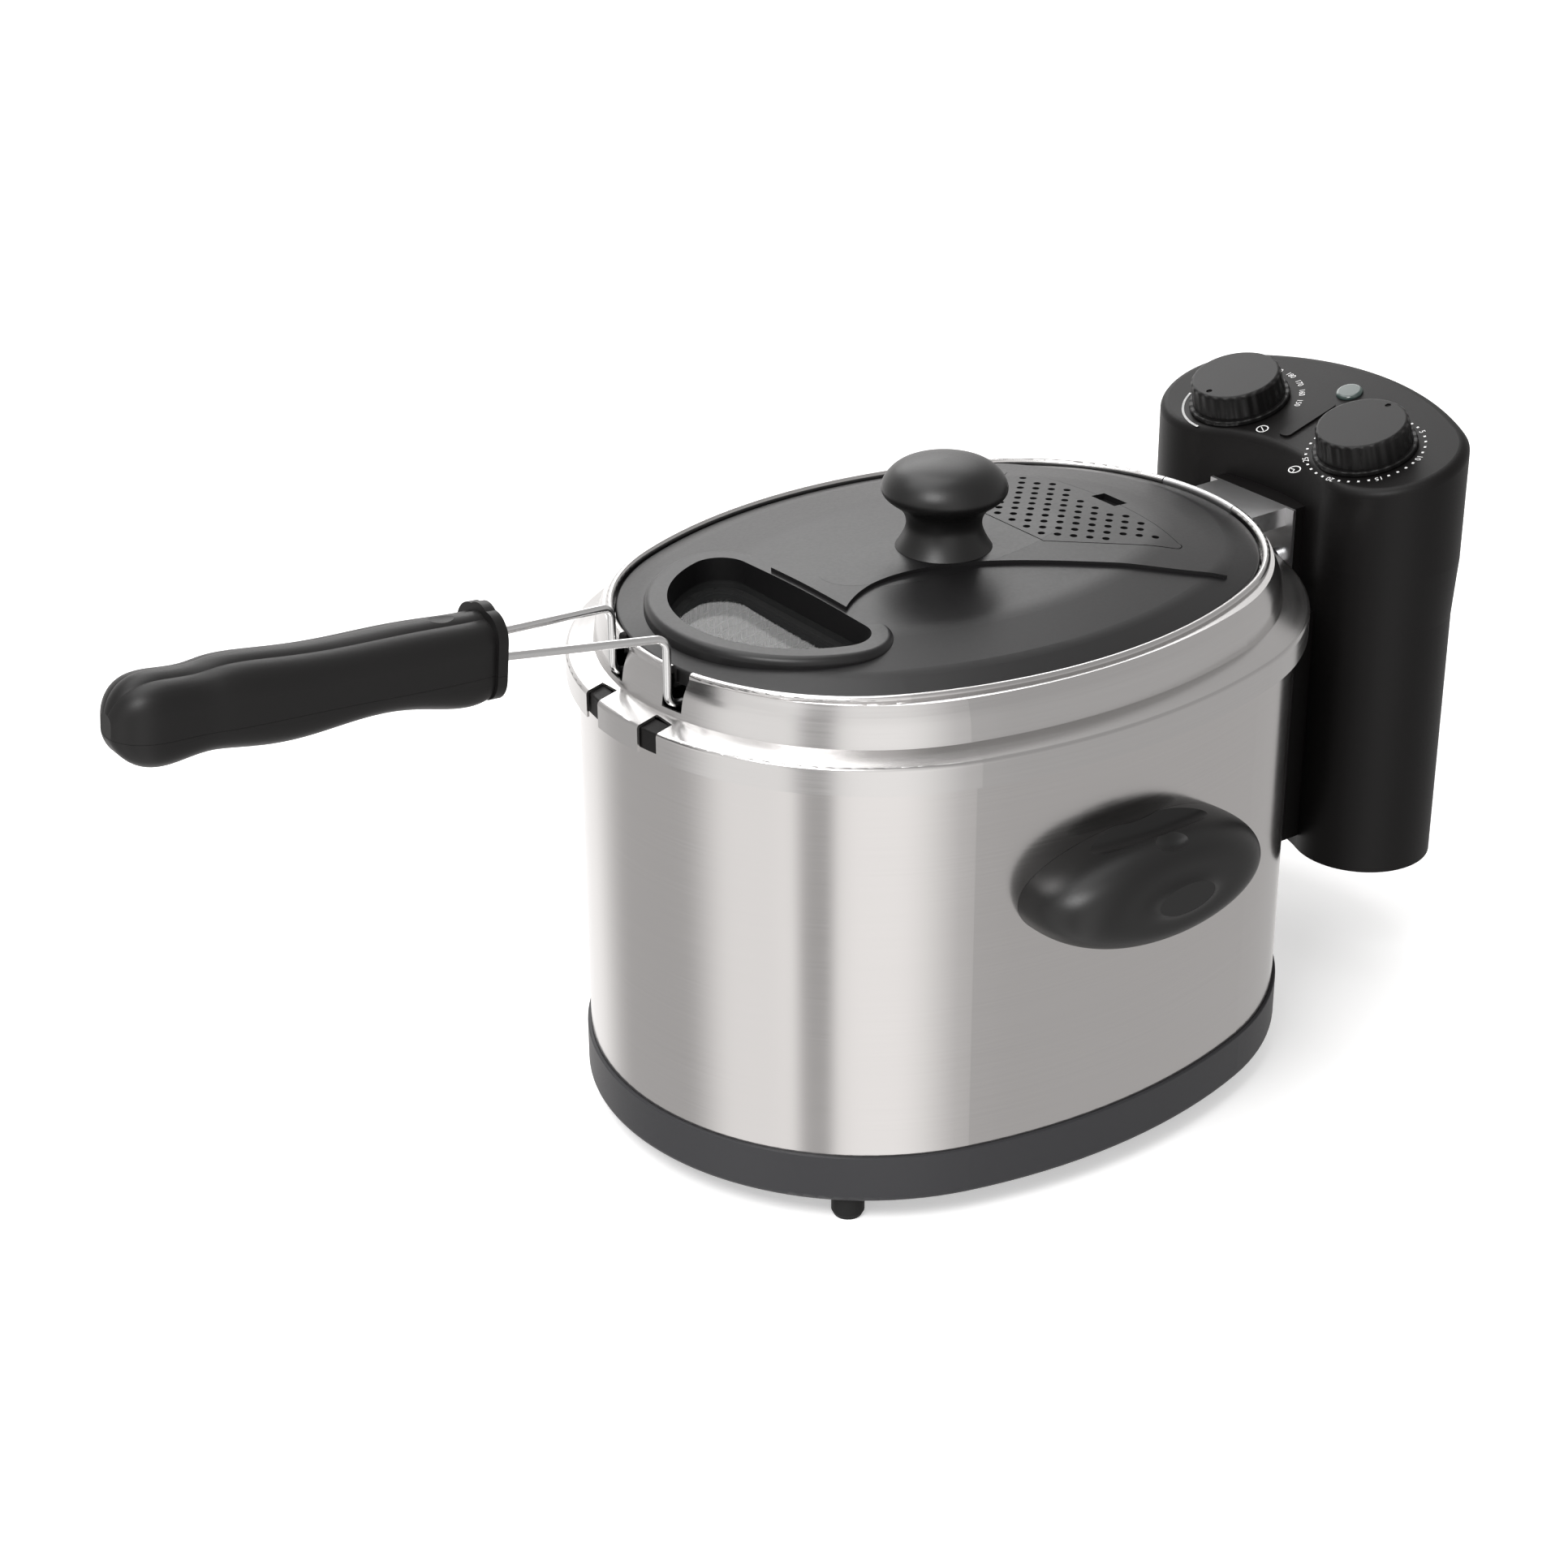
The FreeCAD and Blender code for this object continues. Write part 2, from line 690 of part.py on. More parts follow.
def make_lug(side):
    lug = Part.makeLoft([
        lug_section(-LUG_ROOT, 1.0),
        lug_section(0.0, 1.0),
        lug_section(LUG_PROUD * 0.33, LUG_MID_SHARE),
        lug_section(LUG_PROUD * 0.66, LUG_OUTER_SHARE),
        lug_section(LUG_PROUD * 0.90, LUG_BROW_SHARE),
        lug_section(LUG_PROUD, LUG_TIP_SHARE),
    ], True, False)
    groove = spindle(GROOVE_HALF_LENGTH, GROOVE_R)
    top = LUG_Z + LUG_HEIGHT / 2.0
    groove.translate(V(0, -(HOUSING_HALF_WIDTH + GROOVE_PROUD), top + GROOVE_R - GROOVE_DROP))
    scoop = spindle(SCOOP_HALF_LENGTH, SCOOP_R)
    brow = LUG_Z + LUG_HEIGHT / 2.0 * LUG_OUTER_SHARE
    scoop.translate(V(0, -(HOUSING_HALF_WIDTH + SCOOP_PROUD), brow + SCOOP_R - SCOOP_DROP))
    lug = lug.cut([groove, scoop, HOUSING.prism(LUG_SEAT_GAP, 0, FAR)])
    if side > 0:
        lug = lug.mirror(ZERO, V(0, 1, 0))
    return lug


def make_housing():
    shell = HOUSING.ring([
        (-SHELL_FLANGE, SHELL_SEAT_Z, 0),
        (0, SHELL_SEAT_Z, SHELL_FLANGE_R),
        (0, SHELL_TOP_Z, 0),
        (-SHELL_SHEET, SHELL_TOP_Z, 0),
        (-SHELL_SHEET, SHELL_SEAT_Z + SHELL_SHEET, SHELL_FLANGE_R / 2.0),
        (-SHELL_FLANGE, SHELL_SEAT_Z + SHELL_SHEET, 0),
    ])
    for x, y in base_screw_places():
        shell = shell.cut(Part.makeCylinder(BASE_SCREW_R + SCREW_FIT, FAR / 4.0, V(x, y, 0)))
    lugs = {-1: make_lug(-1), 1: make_lug(1)}
    screws = []
    wall_in = HOUSING_HALF_WIDTH - SHELL_SHEET
    way = V(0, -1, 0)
    start = V(0, -wall_in, LUG_Z)
    screw = round_screw(LUG_SCREW_R, LUG_SCREW_L, LUG_SCREW_HEAD_R, LUG_SCREW_HEAD_H, start + V(0, 0.1, 0), way)
    drill = Part.makeCylinder(LUG_SCREW_R + SCREW_CLEAR, 3.0, start - way, way)
    pilot = Part.makeCylinder(LUG_SCREW_R + SCREW_FIT, LUG_SCREW_L + 1.0, start, way)
    for side in (-1, 1):
        for angle in (-LUG_SCREW_ANGLE, LUG_SCREW_ANGLE):
            place = lug_screw(angle, side)
            shell = shell.cut(place(drill))
            lugs[side] = lugs[side].cut(place(pilot))
            screws.append(place(screw))
    emit("housing_shell", shell)
    emit("side_handle_near", lugs[-1])
    emit("side_handle_far", lugs[1])
    emit("handle_screws", group(screws))


def shoulder_under_z(offset):
    """Height of the shoulder's underside at an offset from the housing oval."""
    run = SKIRT_OUT + SHOULDER_IN
    rise = SHOULDER_TOP_Z - SKIRT_TOP_Z
    return SKIRT_TOP_Z - BOWL_SHEET + rise * (SKIRT_OUT - offset) / run


def make_collar():
    inner = -SHELL_SHEET - COLLAR_GAP
    outer = COLLAR_GAP
    inner_face = inner - COLLAR_INNER_LEG
    outer_face = outer + COLLAR_LEG
    hook_z = SHELL_TOP_Z + COLLAR_GAP
    collar = HOUSING.ring([
        (inner_face, SHELL_TOP_Z - COLLAR_DEPTH, 0),
        (inner, SHELL_TOP_Z - COLLAR_DEPTH, 0),
        (inner, hook_z, 0),
        (outer, hook_z, 0),
        (outer, SKIRT_BOTTOM_Z + 1.5, 0),
        (outer_face, SKIRT_BOTTOM_Z + 1.5, 0),
        (outer_face, shoulder_under_z(outer_face) - COLLAR_UNDER_SHOULDER, 0.8),
        (inner_face, shoulder_under_z(inner_face) - COLLAR_UNDER_SHOULDER, 0.8),
    ])
    emit("housing_collar", collar)


# Bowl

def make_pan():
    """Deep pan, welded to the rim along its top edge."""
    inner = -BOWL_IN
    outer = -BOWL_IN + BOWL_SHEET
    floor_in = -BOWL_IN - BOWL_FLOOR_IN
    cup = LID.ring([
        (floor_in, BOWL_FLOOR_Z, 0),
        (inner, BOWL_FLOOR_Z, BOWL_CORNER_R),
        (inner, BOWL_SEAM_Z, 0),
        (outer, BOWL_SEAM_Z, 0),
        (outer, BOWL_FLOOR_Z - BOWL_SHEET, BOWL_CORNER_R + BOWL_SHEET),
        (floor_in, BOWL_FLOOR_Z - BOWL_SHEET, 0),
    ])
    floor = LID.prism(floor_in + FUSE_LAP, BOWL_FLOOR_Z - BOWL_SHEET, BOWL_FLOOR_Z)
    emit("oil_bowl", cup.fuse(floor))


def whole_rim():
    """Rim before its slots and notch are cut."""
    inner = -BOWL_IN
    outer = -BOWL_IN + BOWL_SHEET
    bead_in = LID_GAP
    bead_out = LID_GAP + BEAD_W
    throat = LID.ring([
        (inner, BOWL_SEAM_Z + BOWL_SEAM_GAP, 0),
        (inner, LEDGE_Z, 0),
        (bead_in, LEDGE_Z, 0.5),
        (bead_in, BEAD_TOP_Z, BEAD_R),
        (bead_out, BEAD_TOP_Z, BEAD_R),
        (bead_out, BEAD_TOP_Z - BEAD_H, 0),
        (bead_in + BOWL_SHEET, BEAD_TOP_Z - BEAD_H, 0),
        (bead_in + BOWL_SHEET, LEDGE_Z - BOWL_SHEET, 0),
        (outer, LEDGE_Z - BOWL_SHEET, 0),
        (outer, BOWL_SEAM_Z + BOWL_SEAM_GAP, 0),
    ])
    low_z = SHOULDER_TOP_Z - WALL_SINK - 0.3
    wall = HOUSING.ring([
        (-WALL_IN, low_z, 0),
        (-WALL_MID_IN, WALL_MID_Z, WALL_MID_R),
        (-WALL_TOP_IN, DECK_Z, 0),
        (-WALL_TOP_IN - BOWL_SHEET, DECK_Z, 0),
        (-WALL_MID_IN - BOWL_SHEET, WALL_MID_Z, WALL_MID_R - BOWL_SHEET),
        (-WALL_IN - BOWL_SHEET, low_z, 0),
    ])
    deck = HOUSING.prism(-WALL_TOP_IN - 0.3, DECK_Z - BOWL_SHEET, DECK_Z - 0.02)
    deck = deck.cut(LID.prism(bead_in + BOWL_SHEET * 0.5, 0, FAR))
    shoulder = HOUSING.ring([
        (SKIRT_OUT, SKIRT_BOTTOM_Z, 0),
        (SKIRT_OUT, SKIRT_TOP_Z, SKIRT_R),
        (-SHOULDER_IN, SHOULDER_TOP_Z, 0),
        (-SHOULDER_IN, SHOULDER_TOP_Z - BOWL_SHEET, 0),
        (SKIRT_OUT - BOWL_SHEET, SKIRT_TOP_Z - BOWL_SHEET, SKIRT_R - BOWL_SHEET),
        (SKIRT_OUT - BOWL_SHEET, SKIRT_BOTTOM_Z, 0),
    ])
    return throat.fuse([wall, deck, shoulder])


def arm_zone(half_w, z0):
    """Space at the control end that the arm takes up, open upward."""
    return block(ARM_START_X, HOUSING_HALF_LENGTH - WALL_IN + 4.0, -half_w, half_w, z0, FAR)


def make_rim(rim):
    slots = []
    seat_z = WIRE_Z - WIRE_R - SLOT_SEAT_GAP
    for side in (-1, 1):
        y0 = side * WIRE_Y - SLOT_W / 2.0
        y1 = side * WIRE_Y + SLOT_W / 2.0
        slots.append(block(-HOUSING_HALF_LENGTH - 20.0, -LID_HALF_LENGTH + 12.0, y0, y1, seat_z, FAR))
        slots.append(block(-HOUSING_HALF_LENGTH - 20.0, -HOUSING_HALF_LENGTH + 5.0, y0, y1, SKIRT_BOTTOM_Z - 5.0, FAR))
    notch = arm_zone(ARM_HALF_W + NOTCH_CLEAR, ARM_BOTTOM_Z - NOTCH_CLEAR)
    emit("bowl_rim", rim.cut(slots + [notch]))


# Basket

def grip_axis():
    """Start point and unit direction of the grip's middle line."""
    start = V(GRIP_START_X, 0, GRIP_WIRE_Z)
    way = V(-GRIP_END, 0, GRIP_TIP_Z) - start
    return start, way


def wire_line(side):
    """Where one handle wire rises, bends and ends inside the grip."""
    bend = V(WIRE_RISE_X, side * WIRE_Y, WIRE_BEND_Z)
    entry = V(GRIP_WIRE_X, side * GRIP_WIRE_Y, GRIP_WIRE_Z)
    end = entry + (entry - bend) * GRIP_WIRE_DEPTH
    return bend, end


def make_basket():
    outer = -BASKET_IN
    inner = -BASKET_IN - BASKET_SHEET
    floor_in = -BASKET_IN - 40.0
    cup = LID.ring([
        (floor_in, BASKET_FLOOR_Z, 0),
        (outer, BASKET_FLOOR_Z, BASKET_CORNER_R),
        (outer, BASKET_TOP_Z, 0),
        (inner, BASKET_TOP_Z, 0),
        (inner, BASKET_FLOOR_Z + BASKET_SHEET, BASKET_CORNER_R - BASKET_SHEET),
        (floor_in, BASKET_FLOOR_Z + BASKET_SHEET, 0),
    ])
    floor = LID.prism(floor_in + FUSE_LAP, BASKET_FLOOR_Z, BASKET_FLOOR_Z + BASKET_SHEET)
    emit("basket_mesh", cup.fuse(floor).removeSplitter())
    low = WIRE_Z - WIRE_R - 2.0 * RIM_WIRE_R - WIRE_FIT
    high = low + 2.0 * RIM_WIRE_R
    near = outer + RIM_WIRE_GAP
    away = near + 2.0 * RIM_WIRE_R
    bend = RIM_WIRE_R - RIM_WIRE_FLAT
    rim = LID.ring([(near, low, bend), (away, low, bend), (away, high, bend), (near, high, bend)])
    emit("basket_rim_wire", rim)
    wires = []
    for side in (-1, 1):
        bend_at, end = wire_line(side)
        points = [
            V(WIRE_START_X, side * WIRE_Y, WIRE_Z),
            V(WIRE_RISE_X, side * WIRE_Y, WIRE_Z),
            bend_at,
            end,
        ]
        wires.append(bent_rod(WIRE_R, points, [WIRE_BEND_R, WIRE_BEND_R]))
    emit("basket_handle_wires", group(wires))


def grip_section(share, width, height, lift):
    """Rounded, crowned outline across the grip at a share of its length."""
    start, way = grip_axis()
    along = V(way.x, way.y, way.z)
    along.normalize()
    across = V(0, 1, 0)
    normal = along.cross(across)
    if normal.z < 0:
        normal = normal * -1.0
    centre = start + way * share + normal * lift
    side = width / 2.0
    rise = height / 2.0
    corner = min(side, rise) * GRIP_CORNER
    bow = corner * (1.0 - math.sqrt(0.5))
    crown = GRIP_CROWN * min(1.0, side / GRIP_PALM_W * 2.0)

    def at(y, z):
        return centre + across * y + normal * z

    flat_y = side - corner
    flat_z = rise - corner
    return Part.Wire([
        arc(at(-flat_y, rise), at(0, rise + crown), at(flat_y, rise)),
        arc(at(flat_y, rise), at(side - bow, rise - bow), at(side, flat_z)),
        seg(at(side, flat_z), at(side, -flat_z)),
        arc(at(side, -flat_z), at(side - bow, -rise + bow), at(flat_y, -rise)),
        seg(at(flat_y, -rise), at(-flat_y, -rise)),
        arc(at(-flat_y, -rise), at(-side + bow, -rise + bow), at(-side, -flat_z)),
        seg(at(-side, -flat_z), at(-side, flat_z)),
        arc(at(-side, flat_z), at(-side + bow, rise - bow), at(-flat_y, rise)),
    ])


def nose_section(share):
    """Section of the grip's rounded end; its size follows a quarter circle."""
    reach = (share - GRIP_NOSE) / (1.0 - GRIP_NOSE)
    scale = math.sqrt(1.0 - (0.96 * reach) ** 2)
    return grip_section(share, GRIP_PALM_W * scale, GRIP_PALM_H * scale, -GRIP_WAVE)


def make_grip():
    start, way = grip_axis()
    along = V(way.x, way.y, way.z)
    along.normalize()
    normal = V(along.z, 0, -along.x)
    if normal.z < 0:
        normal = normal * -1.0
    body = Part.makeLoft([
        grip_section(0.0, GRIP_ROOT_W, GRIP_ROOT_H, 0),
        grip_section(0.16, GRIP_PALM_W, GRIP_PALM_H, -GRIP_WAVE),
        grip_section(0.34, GRIP_PALM_W, GRIP_WAIST_H, 0),
        grip_section(0.54, GRIP_PALM_W, GRIP_PALM_H, -GRIP_WAVE),
        grip_section(0.74, GRIP_PALM_W, GRIP_LOW_WAIST_H, 0),
        nose_section(GRIP_NOSE),
        nose_section(0.95),
        nose_section(0.985),
        nose_section(1.0),
    ], True, False)
    collar = Part.Face(grip_section(0.0, GRIP_COLLAR_W, GRIP_COLLAR_H, 0)).extrude(along * GRIP_COLLAR_L)
    body = body.fuse(collar)
    bores = []
    for side in (-1, 1):
        bend_at, end = wire_line(side)
        way_in = end - bend_at
        way_in.normalize()
        bores.append(rod(WIRE_R + WIRE_FIT, bend_at, end + way_in * WIRE_BORE_CLEAR))
    thumb = start + way * THUMB_SHARE + normal * (GRIP_PALM_H / 2.0 + THUMB_R - THUMB_DEPTH)
    body = body.cut(bores + [Part.makeSphere(THUMB_R, thumb)])
    seam = start - normal * GRIP_SEAM_DROP
    slab = block(-2.0 * FAR, FAR, -FAR, FAR, 0, FAR)
    slab.rotate(ZERO, V(0, 1, 0), math.degrees(math.atan2(-along.z, -along.x)) * -1.0)
    above = slab.translated(seam)
    below = slab.translated(seam - normal * GRIP_SEAM_GAP)
    upper = body.common(above)
    lower = body.cut(below)
    screws = []
    for share in (GRIP_SCREW_NEAR, GRIP_SCREW_FAR):
        seat = start + way * share - normal * (GRIP_SEAM_DROP + 4.0)
        hole = rod(GRIP_SCREW_R + SCREW_FIT, seat - normal * FUSE_LAP, seat + normal * (GRIP_SCREW_UP + 7.0))
        head = rod(GRIP_SCREW_HEAD_R + SCREW_CLEAR, seat - normal * 30.0, seat)
        upper = upper.cut(hole)
        lower = lower.cut([hole, head])
        screws.append(round_screw(GRIP_SCREW_R, GRIP_SCREW_UP + 4.0, GRIP_SCREW_HEAD_R,
                                  GRIP_SCREW_HEAD_H, seat, normal))
    emit("grip_upper", upper)
    emit("grip_lower", lower)
    emit("grip_screws", group(screws))


# Lid

def dome(rise):
    """Everything under the dome's surface, moved up or down by a rise."""
    low = LEDGE_Z - 20.0
    skin = LID.ring([
        (0, low, 0),
        (0, LID_EDGE_Z + rise, LID_EDGE_R),
        (-DOME_HIP_IN, DOME_HIP_Z + rise, DOME_HIP_R),
        (-DOME_MID_IN, DOME_MID_Z + rise, DOME_MID_R),
        (-DOME_TOP_IN, DOME_TOP_Z + rise, 0),
        (-DOME_TOP_IN, low, 0),
    ])
    return skin.fuse(LID.prism(-DOME_TOP_IN + FUSE_LAP, low, DOME_TOP_Z + rise))


def window_shape(offset, z0, z1):
    """D-shaped prism of the window, grown by an offset."""
    r = WINDOW_R + offset
    chord = WINDOW_X + offset
    corner = max(WINDOW_CORNER_R + offset, 2.0)
    top = chord - corner
    reach = math.sqrt((r - corner) ** 2 - (WINDOW_X - top) ** 2)
    toward = V(top - WINDOW_X, reach, 0)
    toward.normalize()
    meet = V(WINDOW_X, 0, 0) + toward * r
    side_mid = V(1, 0, 0) + toward
    side_mid.normalize()
    pivot = V(top, reach, 0)
    upper = arc(V(chord, reach, 0), pivot + side_mid * corner, meet)
    lower = arc(V(meet.x, -meet.y, 0), V(pivot.x + side_mid.x * corner, -pivot.y - side_mid.y * corner, 0),
                V(chord, -reach, 0))
    round_end = arc(meet, V(WINDOW_X - r, 0, 0), V(meet.x, -meet.y, 0))
    flat = seg(V(chord, -reach, 0), V(chord, reach, 0))
    face = Part.Face(Part.Wire([upper, round_end, lower, flat]))
    face.translate(V(0, 0, z0))
    return face.extrude(V(0, 0, z1 - z0))


def fan_shape(offset, z0, z1):
    """Fan-shaped prism of the filter opening, grown by an offset."""
    sweep = V(FAN_END_X - FAN_X, FAN_END_Y - FAN_Y, 0)
    sweep.normalize()
    a = V(FAN_X, FAN_Y, 0)
    b = V(FAN_END_X - FAN_CORNER_IN * sweep.x, FAN_END_Y - FAN_CORNER_IN * sweep.y, 0)
    c = V(FAN_END_X + 0.6, FAN_END_Y - FAN_CORNER_IN * 1.3, 0)
    mid = V((b.x + c.x) / 2.0 + 1.5, (b.y + c.y) / 2.0 + 1.2, 0)
    edges = [seg(a, b), arc(b, mid, c), arc(c, V(FAN_BULGE_X, 0, 0), V(c.x, -c.y, 0))]
    edges.append(arc(V(c.x, -c.y, 0), V(mid.x, -mid.y, 0), V(b.x, -b.y, 0)))
    edges.append(seg(V(b.x, -b.y, 0), V(a.x, -a.y, 0)))
    edges.append(seg(V(a.x, -a.y, 0), a))
    face = Part.Face(Part.Wire(edges))
    if offset != 0:
        face = face.makeOffset2D(offset)
    face.translate(V(0, 0, z0))
    return face.extrude(V(0, 0, z1 - z0))


def plateau_shape():
    """Waisted outline of the raised part of the lid."""
    def edge(side):
        line = Part.BSplineCurve()
        line.interpolate([
            V(PLATEAU_START_X, side * PLATEAU_START_Y, 0),
            V(PLATEAU_NECK_X, side * PLATEAU_NECK_Y, 0),
            V(PLATEAU_HIP_X, side * PLATEAU_HIP_Y, 0),
            V(PLATEAU_END_X, side * PLATEAU_END_Y, 0),
        ])
        return line.toShape()
    far_end = V(PLATEAU_END_X, PLATEAU_END_Y, 0)
    near_end = V(PLATEAU_END_X, -PLATEAU_END_Y, 0)
    end = arc(far_end, V(PLATEAU_BULGE_X, 0, 0), near_end)
    start = seg(V(PLATEAU_START_X, -PLATEAU_START_Y, 0), V(PLATEAU_START_X, PLATEAU_START_Y, 0))
    face = Part.Face(Part.Wire([edge(1), end, edge(-1), start]))
    face.translate(V(0, 0, LEDGE_Z))
    return face.extrude(V(0, 0, 60.0))


def fan_holes(low, high):
    """Staggered drills over the filter cover."""
    drills = []
    field = fan_shape(-HOLE_MARGIN, low, high)
    columns = int((FAN_BULGE_X - FAN_X) / HOLE_PITCH * 2.0) + 1
    rows = int(2.0 * FAN_END_Y / HOLE_PITCH) + 1
    middle = (low + high) / 2.0
    for i in range(columns):
        x = FAN_X + HOLE_PITCH * 0.5 * i
        for j in range(-rows, rows):
            y = HOLE_PITCH * (j + 0.5 * (i % 2))
            clear_of_slot = abs(x - FINGER_X) > FINGER_L or abs(y) > FINGER_W * 0.75
            if clear_of_slot and field.isInside(V(x, y, middle), 0.01, True):
                drills.append(Part.makeCylinder(HOLE_R, high - low, V(x, y, low)))
    return drills


def make_lid():
    top = dome(0)
    under = dome(-LID_SHEET)
    raised = dome(PLATEAU_RISE)
    raised_under = dome(PLATEAU_RISE - LID_SHEET)
    skirt_z = LEDGE_Z + LID_SEAT_GAP
    flange = LID.ring([
        (-LID_SHEET, skirt_z, 0), (0, skirt_z, 0),
        (0, LID_EDGE_Z - LID_EDGE_R, 0), (-LID_SHEET, LID_EDGE_Z - LID_EDGE_R, 0),
    ])
    trim = LID.prism(FUSE_LAP, LEDGE_Z - 30.0, LID_EDGE_Z - LID_SHEET).cut(LID.prism(-LID_SHEET, 0, FAR))
    shell = top.cut(under).cut(trim).fuse(flange)
    shell = shell.fuse(raised.cut(under).common(plateau_shape()))
    bezel = window_shape(BEZEL_W, BEZEL_BOTTOM_Z, BEZEL_TOP_Z)
    crown = [e for e in bezel.Edges if e.BoundBox.ZMin > BEZEL_TOP_Z - 0.01]
    bezel = bezel.makeFillet(BEZEL_EDGE_R, crown)
    fan_out = fan_shape(FAN_WALL, FAN_BOTTOM_Z, FAR)
    lid = shell.fuse([bezel, fan_out.common(raised_under)])
    lid = lid.cut(fan_shape(0, LEDGE_Z - 30.0, FAR).cut(raised_under))
    lid = lid.cut(fan_shape(-FAN_SEAT_W, FAN_BOTTOM_Z + FAN_FLOOR, FAR))
    lid = lid.cut(fan_shape(-2.0 * FAN_SEAT_W, FAN_BOTTOM_Z - 5.0, FAR))
    pane_z = SEAT_TOP_Z + GASKET_H
    lid = lid.cut(window_shape(0, SEAT_TOP_Z, FAR))
    lid = lid.cut(window_shape(-SEAT_W, BEZEL_BOTTOM_Z - 5.0, FAR))
    knob_z = DOME_TOP_Z + PLATEAU_RISE
    drill = Part.makeCylinder(LID_KNOB_SCREW_R + SCREW_CLEAR, FAR, ZERO)
    lid = lid.cut(drill)
    finger = block(FINGER_X - FINGER_L / 2.0, FINGER_X + FINGER_L / 2.0, -FINGER_W / 2.0, FINGER_W / 2.0,
                   DOME_HIP_Z, FAR)
    emit("lid_cover", lid.cut(finger.cut(raised_under)))
    gasket = window_shape(-PANE_FIT, SEAT_TOP_Z, pane_z).cut(window_shape(-GASKET_W, SEAT_TOP_Z - 1.0, FAR))
    emit("window_gasket", gasket)
    emit("lid_window", window_shape(-PANE_FIT, pane_z, pane_z + PANE_H))
    cover = raised.cut(raised_under).common(fan_shape(-FAN_FIT, LEDGE_Z, FAR)).cut(finger)
    cover = cover.cut(fan_holes(DOME_HIP_Z - 6.0, DOME_TOP_Z + 6.0))
    emit("filter_cover", cover.translated(V(0, 0, PART_GAP)))
    mat_z = FAN_BOTTOM_Z + FAN_FLOOR + PART_GAP
    emit("filter_mat", fan_shape(-FAN_SEAT_W - FAN_FIT, mat_z, mat_z + MAT_H))
    cap_z = knob_z + LID_KNOB_CAP_UP
    curve = Part.BSplineCurve()
    curve.interpolate([
        V(LID_KNOB_BASE_R, 0, knob_z + PART_GAP),
        V((LID_KNOB_BASE_R + LID_KNOB_NECK_R) / 2.0 - 0.5, 0, knob_z + LID_KNOB_NECK_UP * 0.45),
        V(LID_KNOB_NECK_R, 0, knob_z + LID_KNOB_NECK_UP),
        V(LID_KNOB_NECK_R + 3.0, 0, knob_z + LID_KNOB_NECK_UP + 7.0),
        V(LID_KNOB_CAP_R, 0, cap_z),
        V(LID_KNOB_CAP_R - 3.2, 0, cap_z + 7.0),
        V(LID_KNOB_CAP_R * 0.5, 0, knob_z + LID_KNOB_H - 1.4),
        V(0, 0, knob_z + LID_KNOB_H),
    ])
    profile = Part.Wire([
        curve.toShape(),
        seg(V(0, 0, knob_z + LID_KNOB_H), V(0, 0, knob_z + PART_GAP)),
        seg(V(0, 0, knob_z + PART_GAP), V(LID_KNOB_BASE_R, 0, knob_z + PART_GAP)),
    ])
    knob = Part.Face(profile).revolve(ZERO, UP, 360)
    pilot = Part.makeCylinder(LID_KNOB_SCREW_R + SCREW_FIT, LID_KNOB_SCREW_UP + 1.0, V(0, 0, knob_z))
    emit("lid_knob", knob.cut(pilot))
    screw_z = DOME_TOP_Z - LID_SHEET
    length = knob_z - screw_z + LID_KNOB_SCREW_UP
    screw = round_screw(LID_KNOB_SCREW_R, length, LID_KNOB_SCREW_HEAD_R, LID_KNOB_SCREW_HEAD_H,
                        V(0, 0, screw_z), UP)
    emit("lid_knob_screw", screw)


# Control head

def on_panel(shape):
    """Stand a shape made on z = 0 on the sloped panel."""
    leaned = shape.rotated(ZERO, V(0, 1, 0), -PANEL_SLOPE)
    return leaned.translated(V(HEAD_X, 0, PANEL_Z))


def above_panel(drop):
    """Everything above the panel's plane, lowered by a drop."""
    return on_panel(block(-FAR, FAR, -FAR, FAR, -drop, FAR))


def dial_place(side):
    """Middle of one dial on the panel."""
    return V(DIAL_U, side * DIAL_V, 0)


def head_body():
    """Outer form of the head and its hollow."""
    low = HEAD.prism(-HEAD_INSET, HEAD_BOTTOM_Z, FLARE_LOW_Z)
    flare = Part.makeLoft([HEAD.wire(-HEAD_INSET, FLARE_LOW_Z), HEAD.wire(0, FLARE_HIGH_Z)], True, True)
    high = HEAD.prism(0, FLARE_HIGH_Z, FAR).cut(above_panel(0))
    crown = []
    for edge in high.Edges:
        middle = edge.valueAt((edge.FirstParameter + edge.LastParameter) / 2.0)
        ends_high = min(v.Point.z for v in edge.Vertexes) > FLARE_HIGH_Z + 1.0
        if ends_high and middle.z > FLARE_HIGH_Z + 1.0:
            crown.append(edge)
    high = high.makeFillet(PANEL_EDGE_R, crown)
    return low.fuse([flare, high])


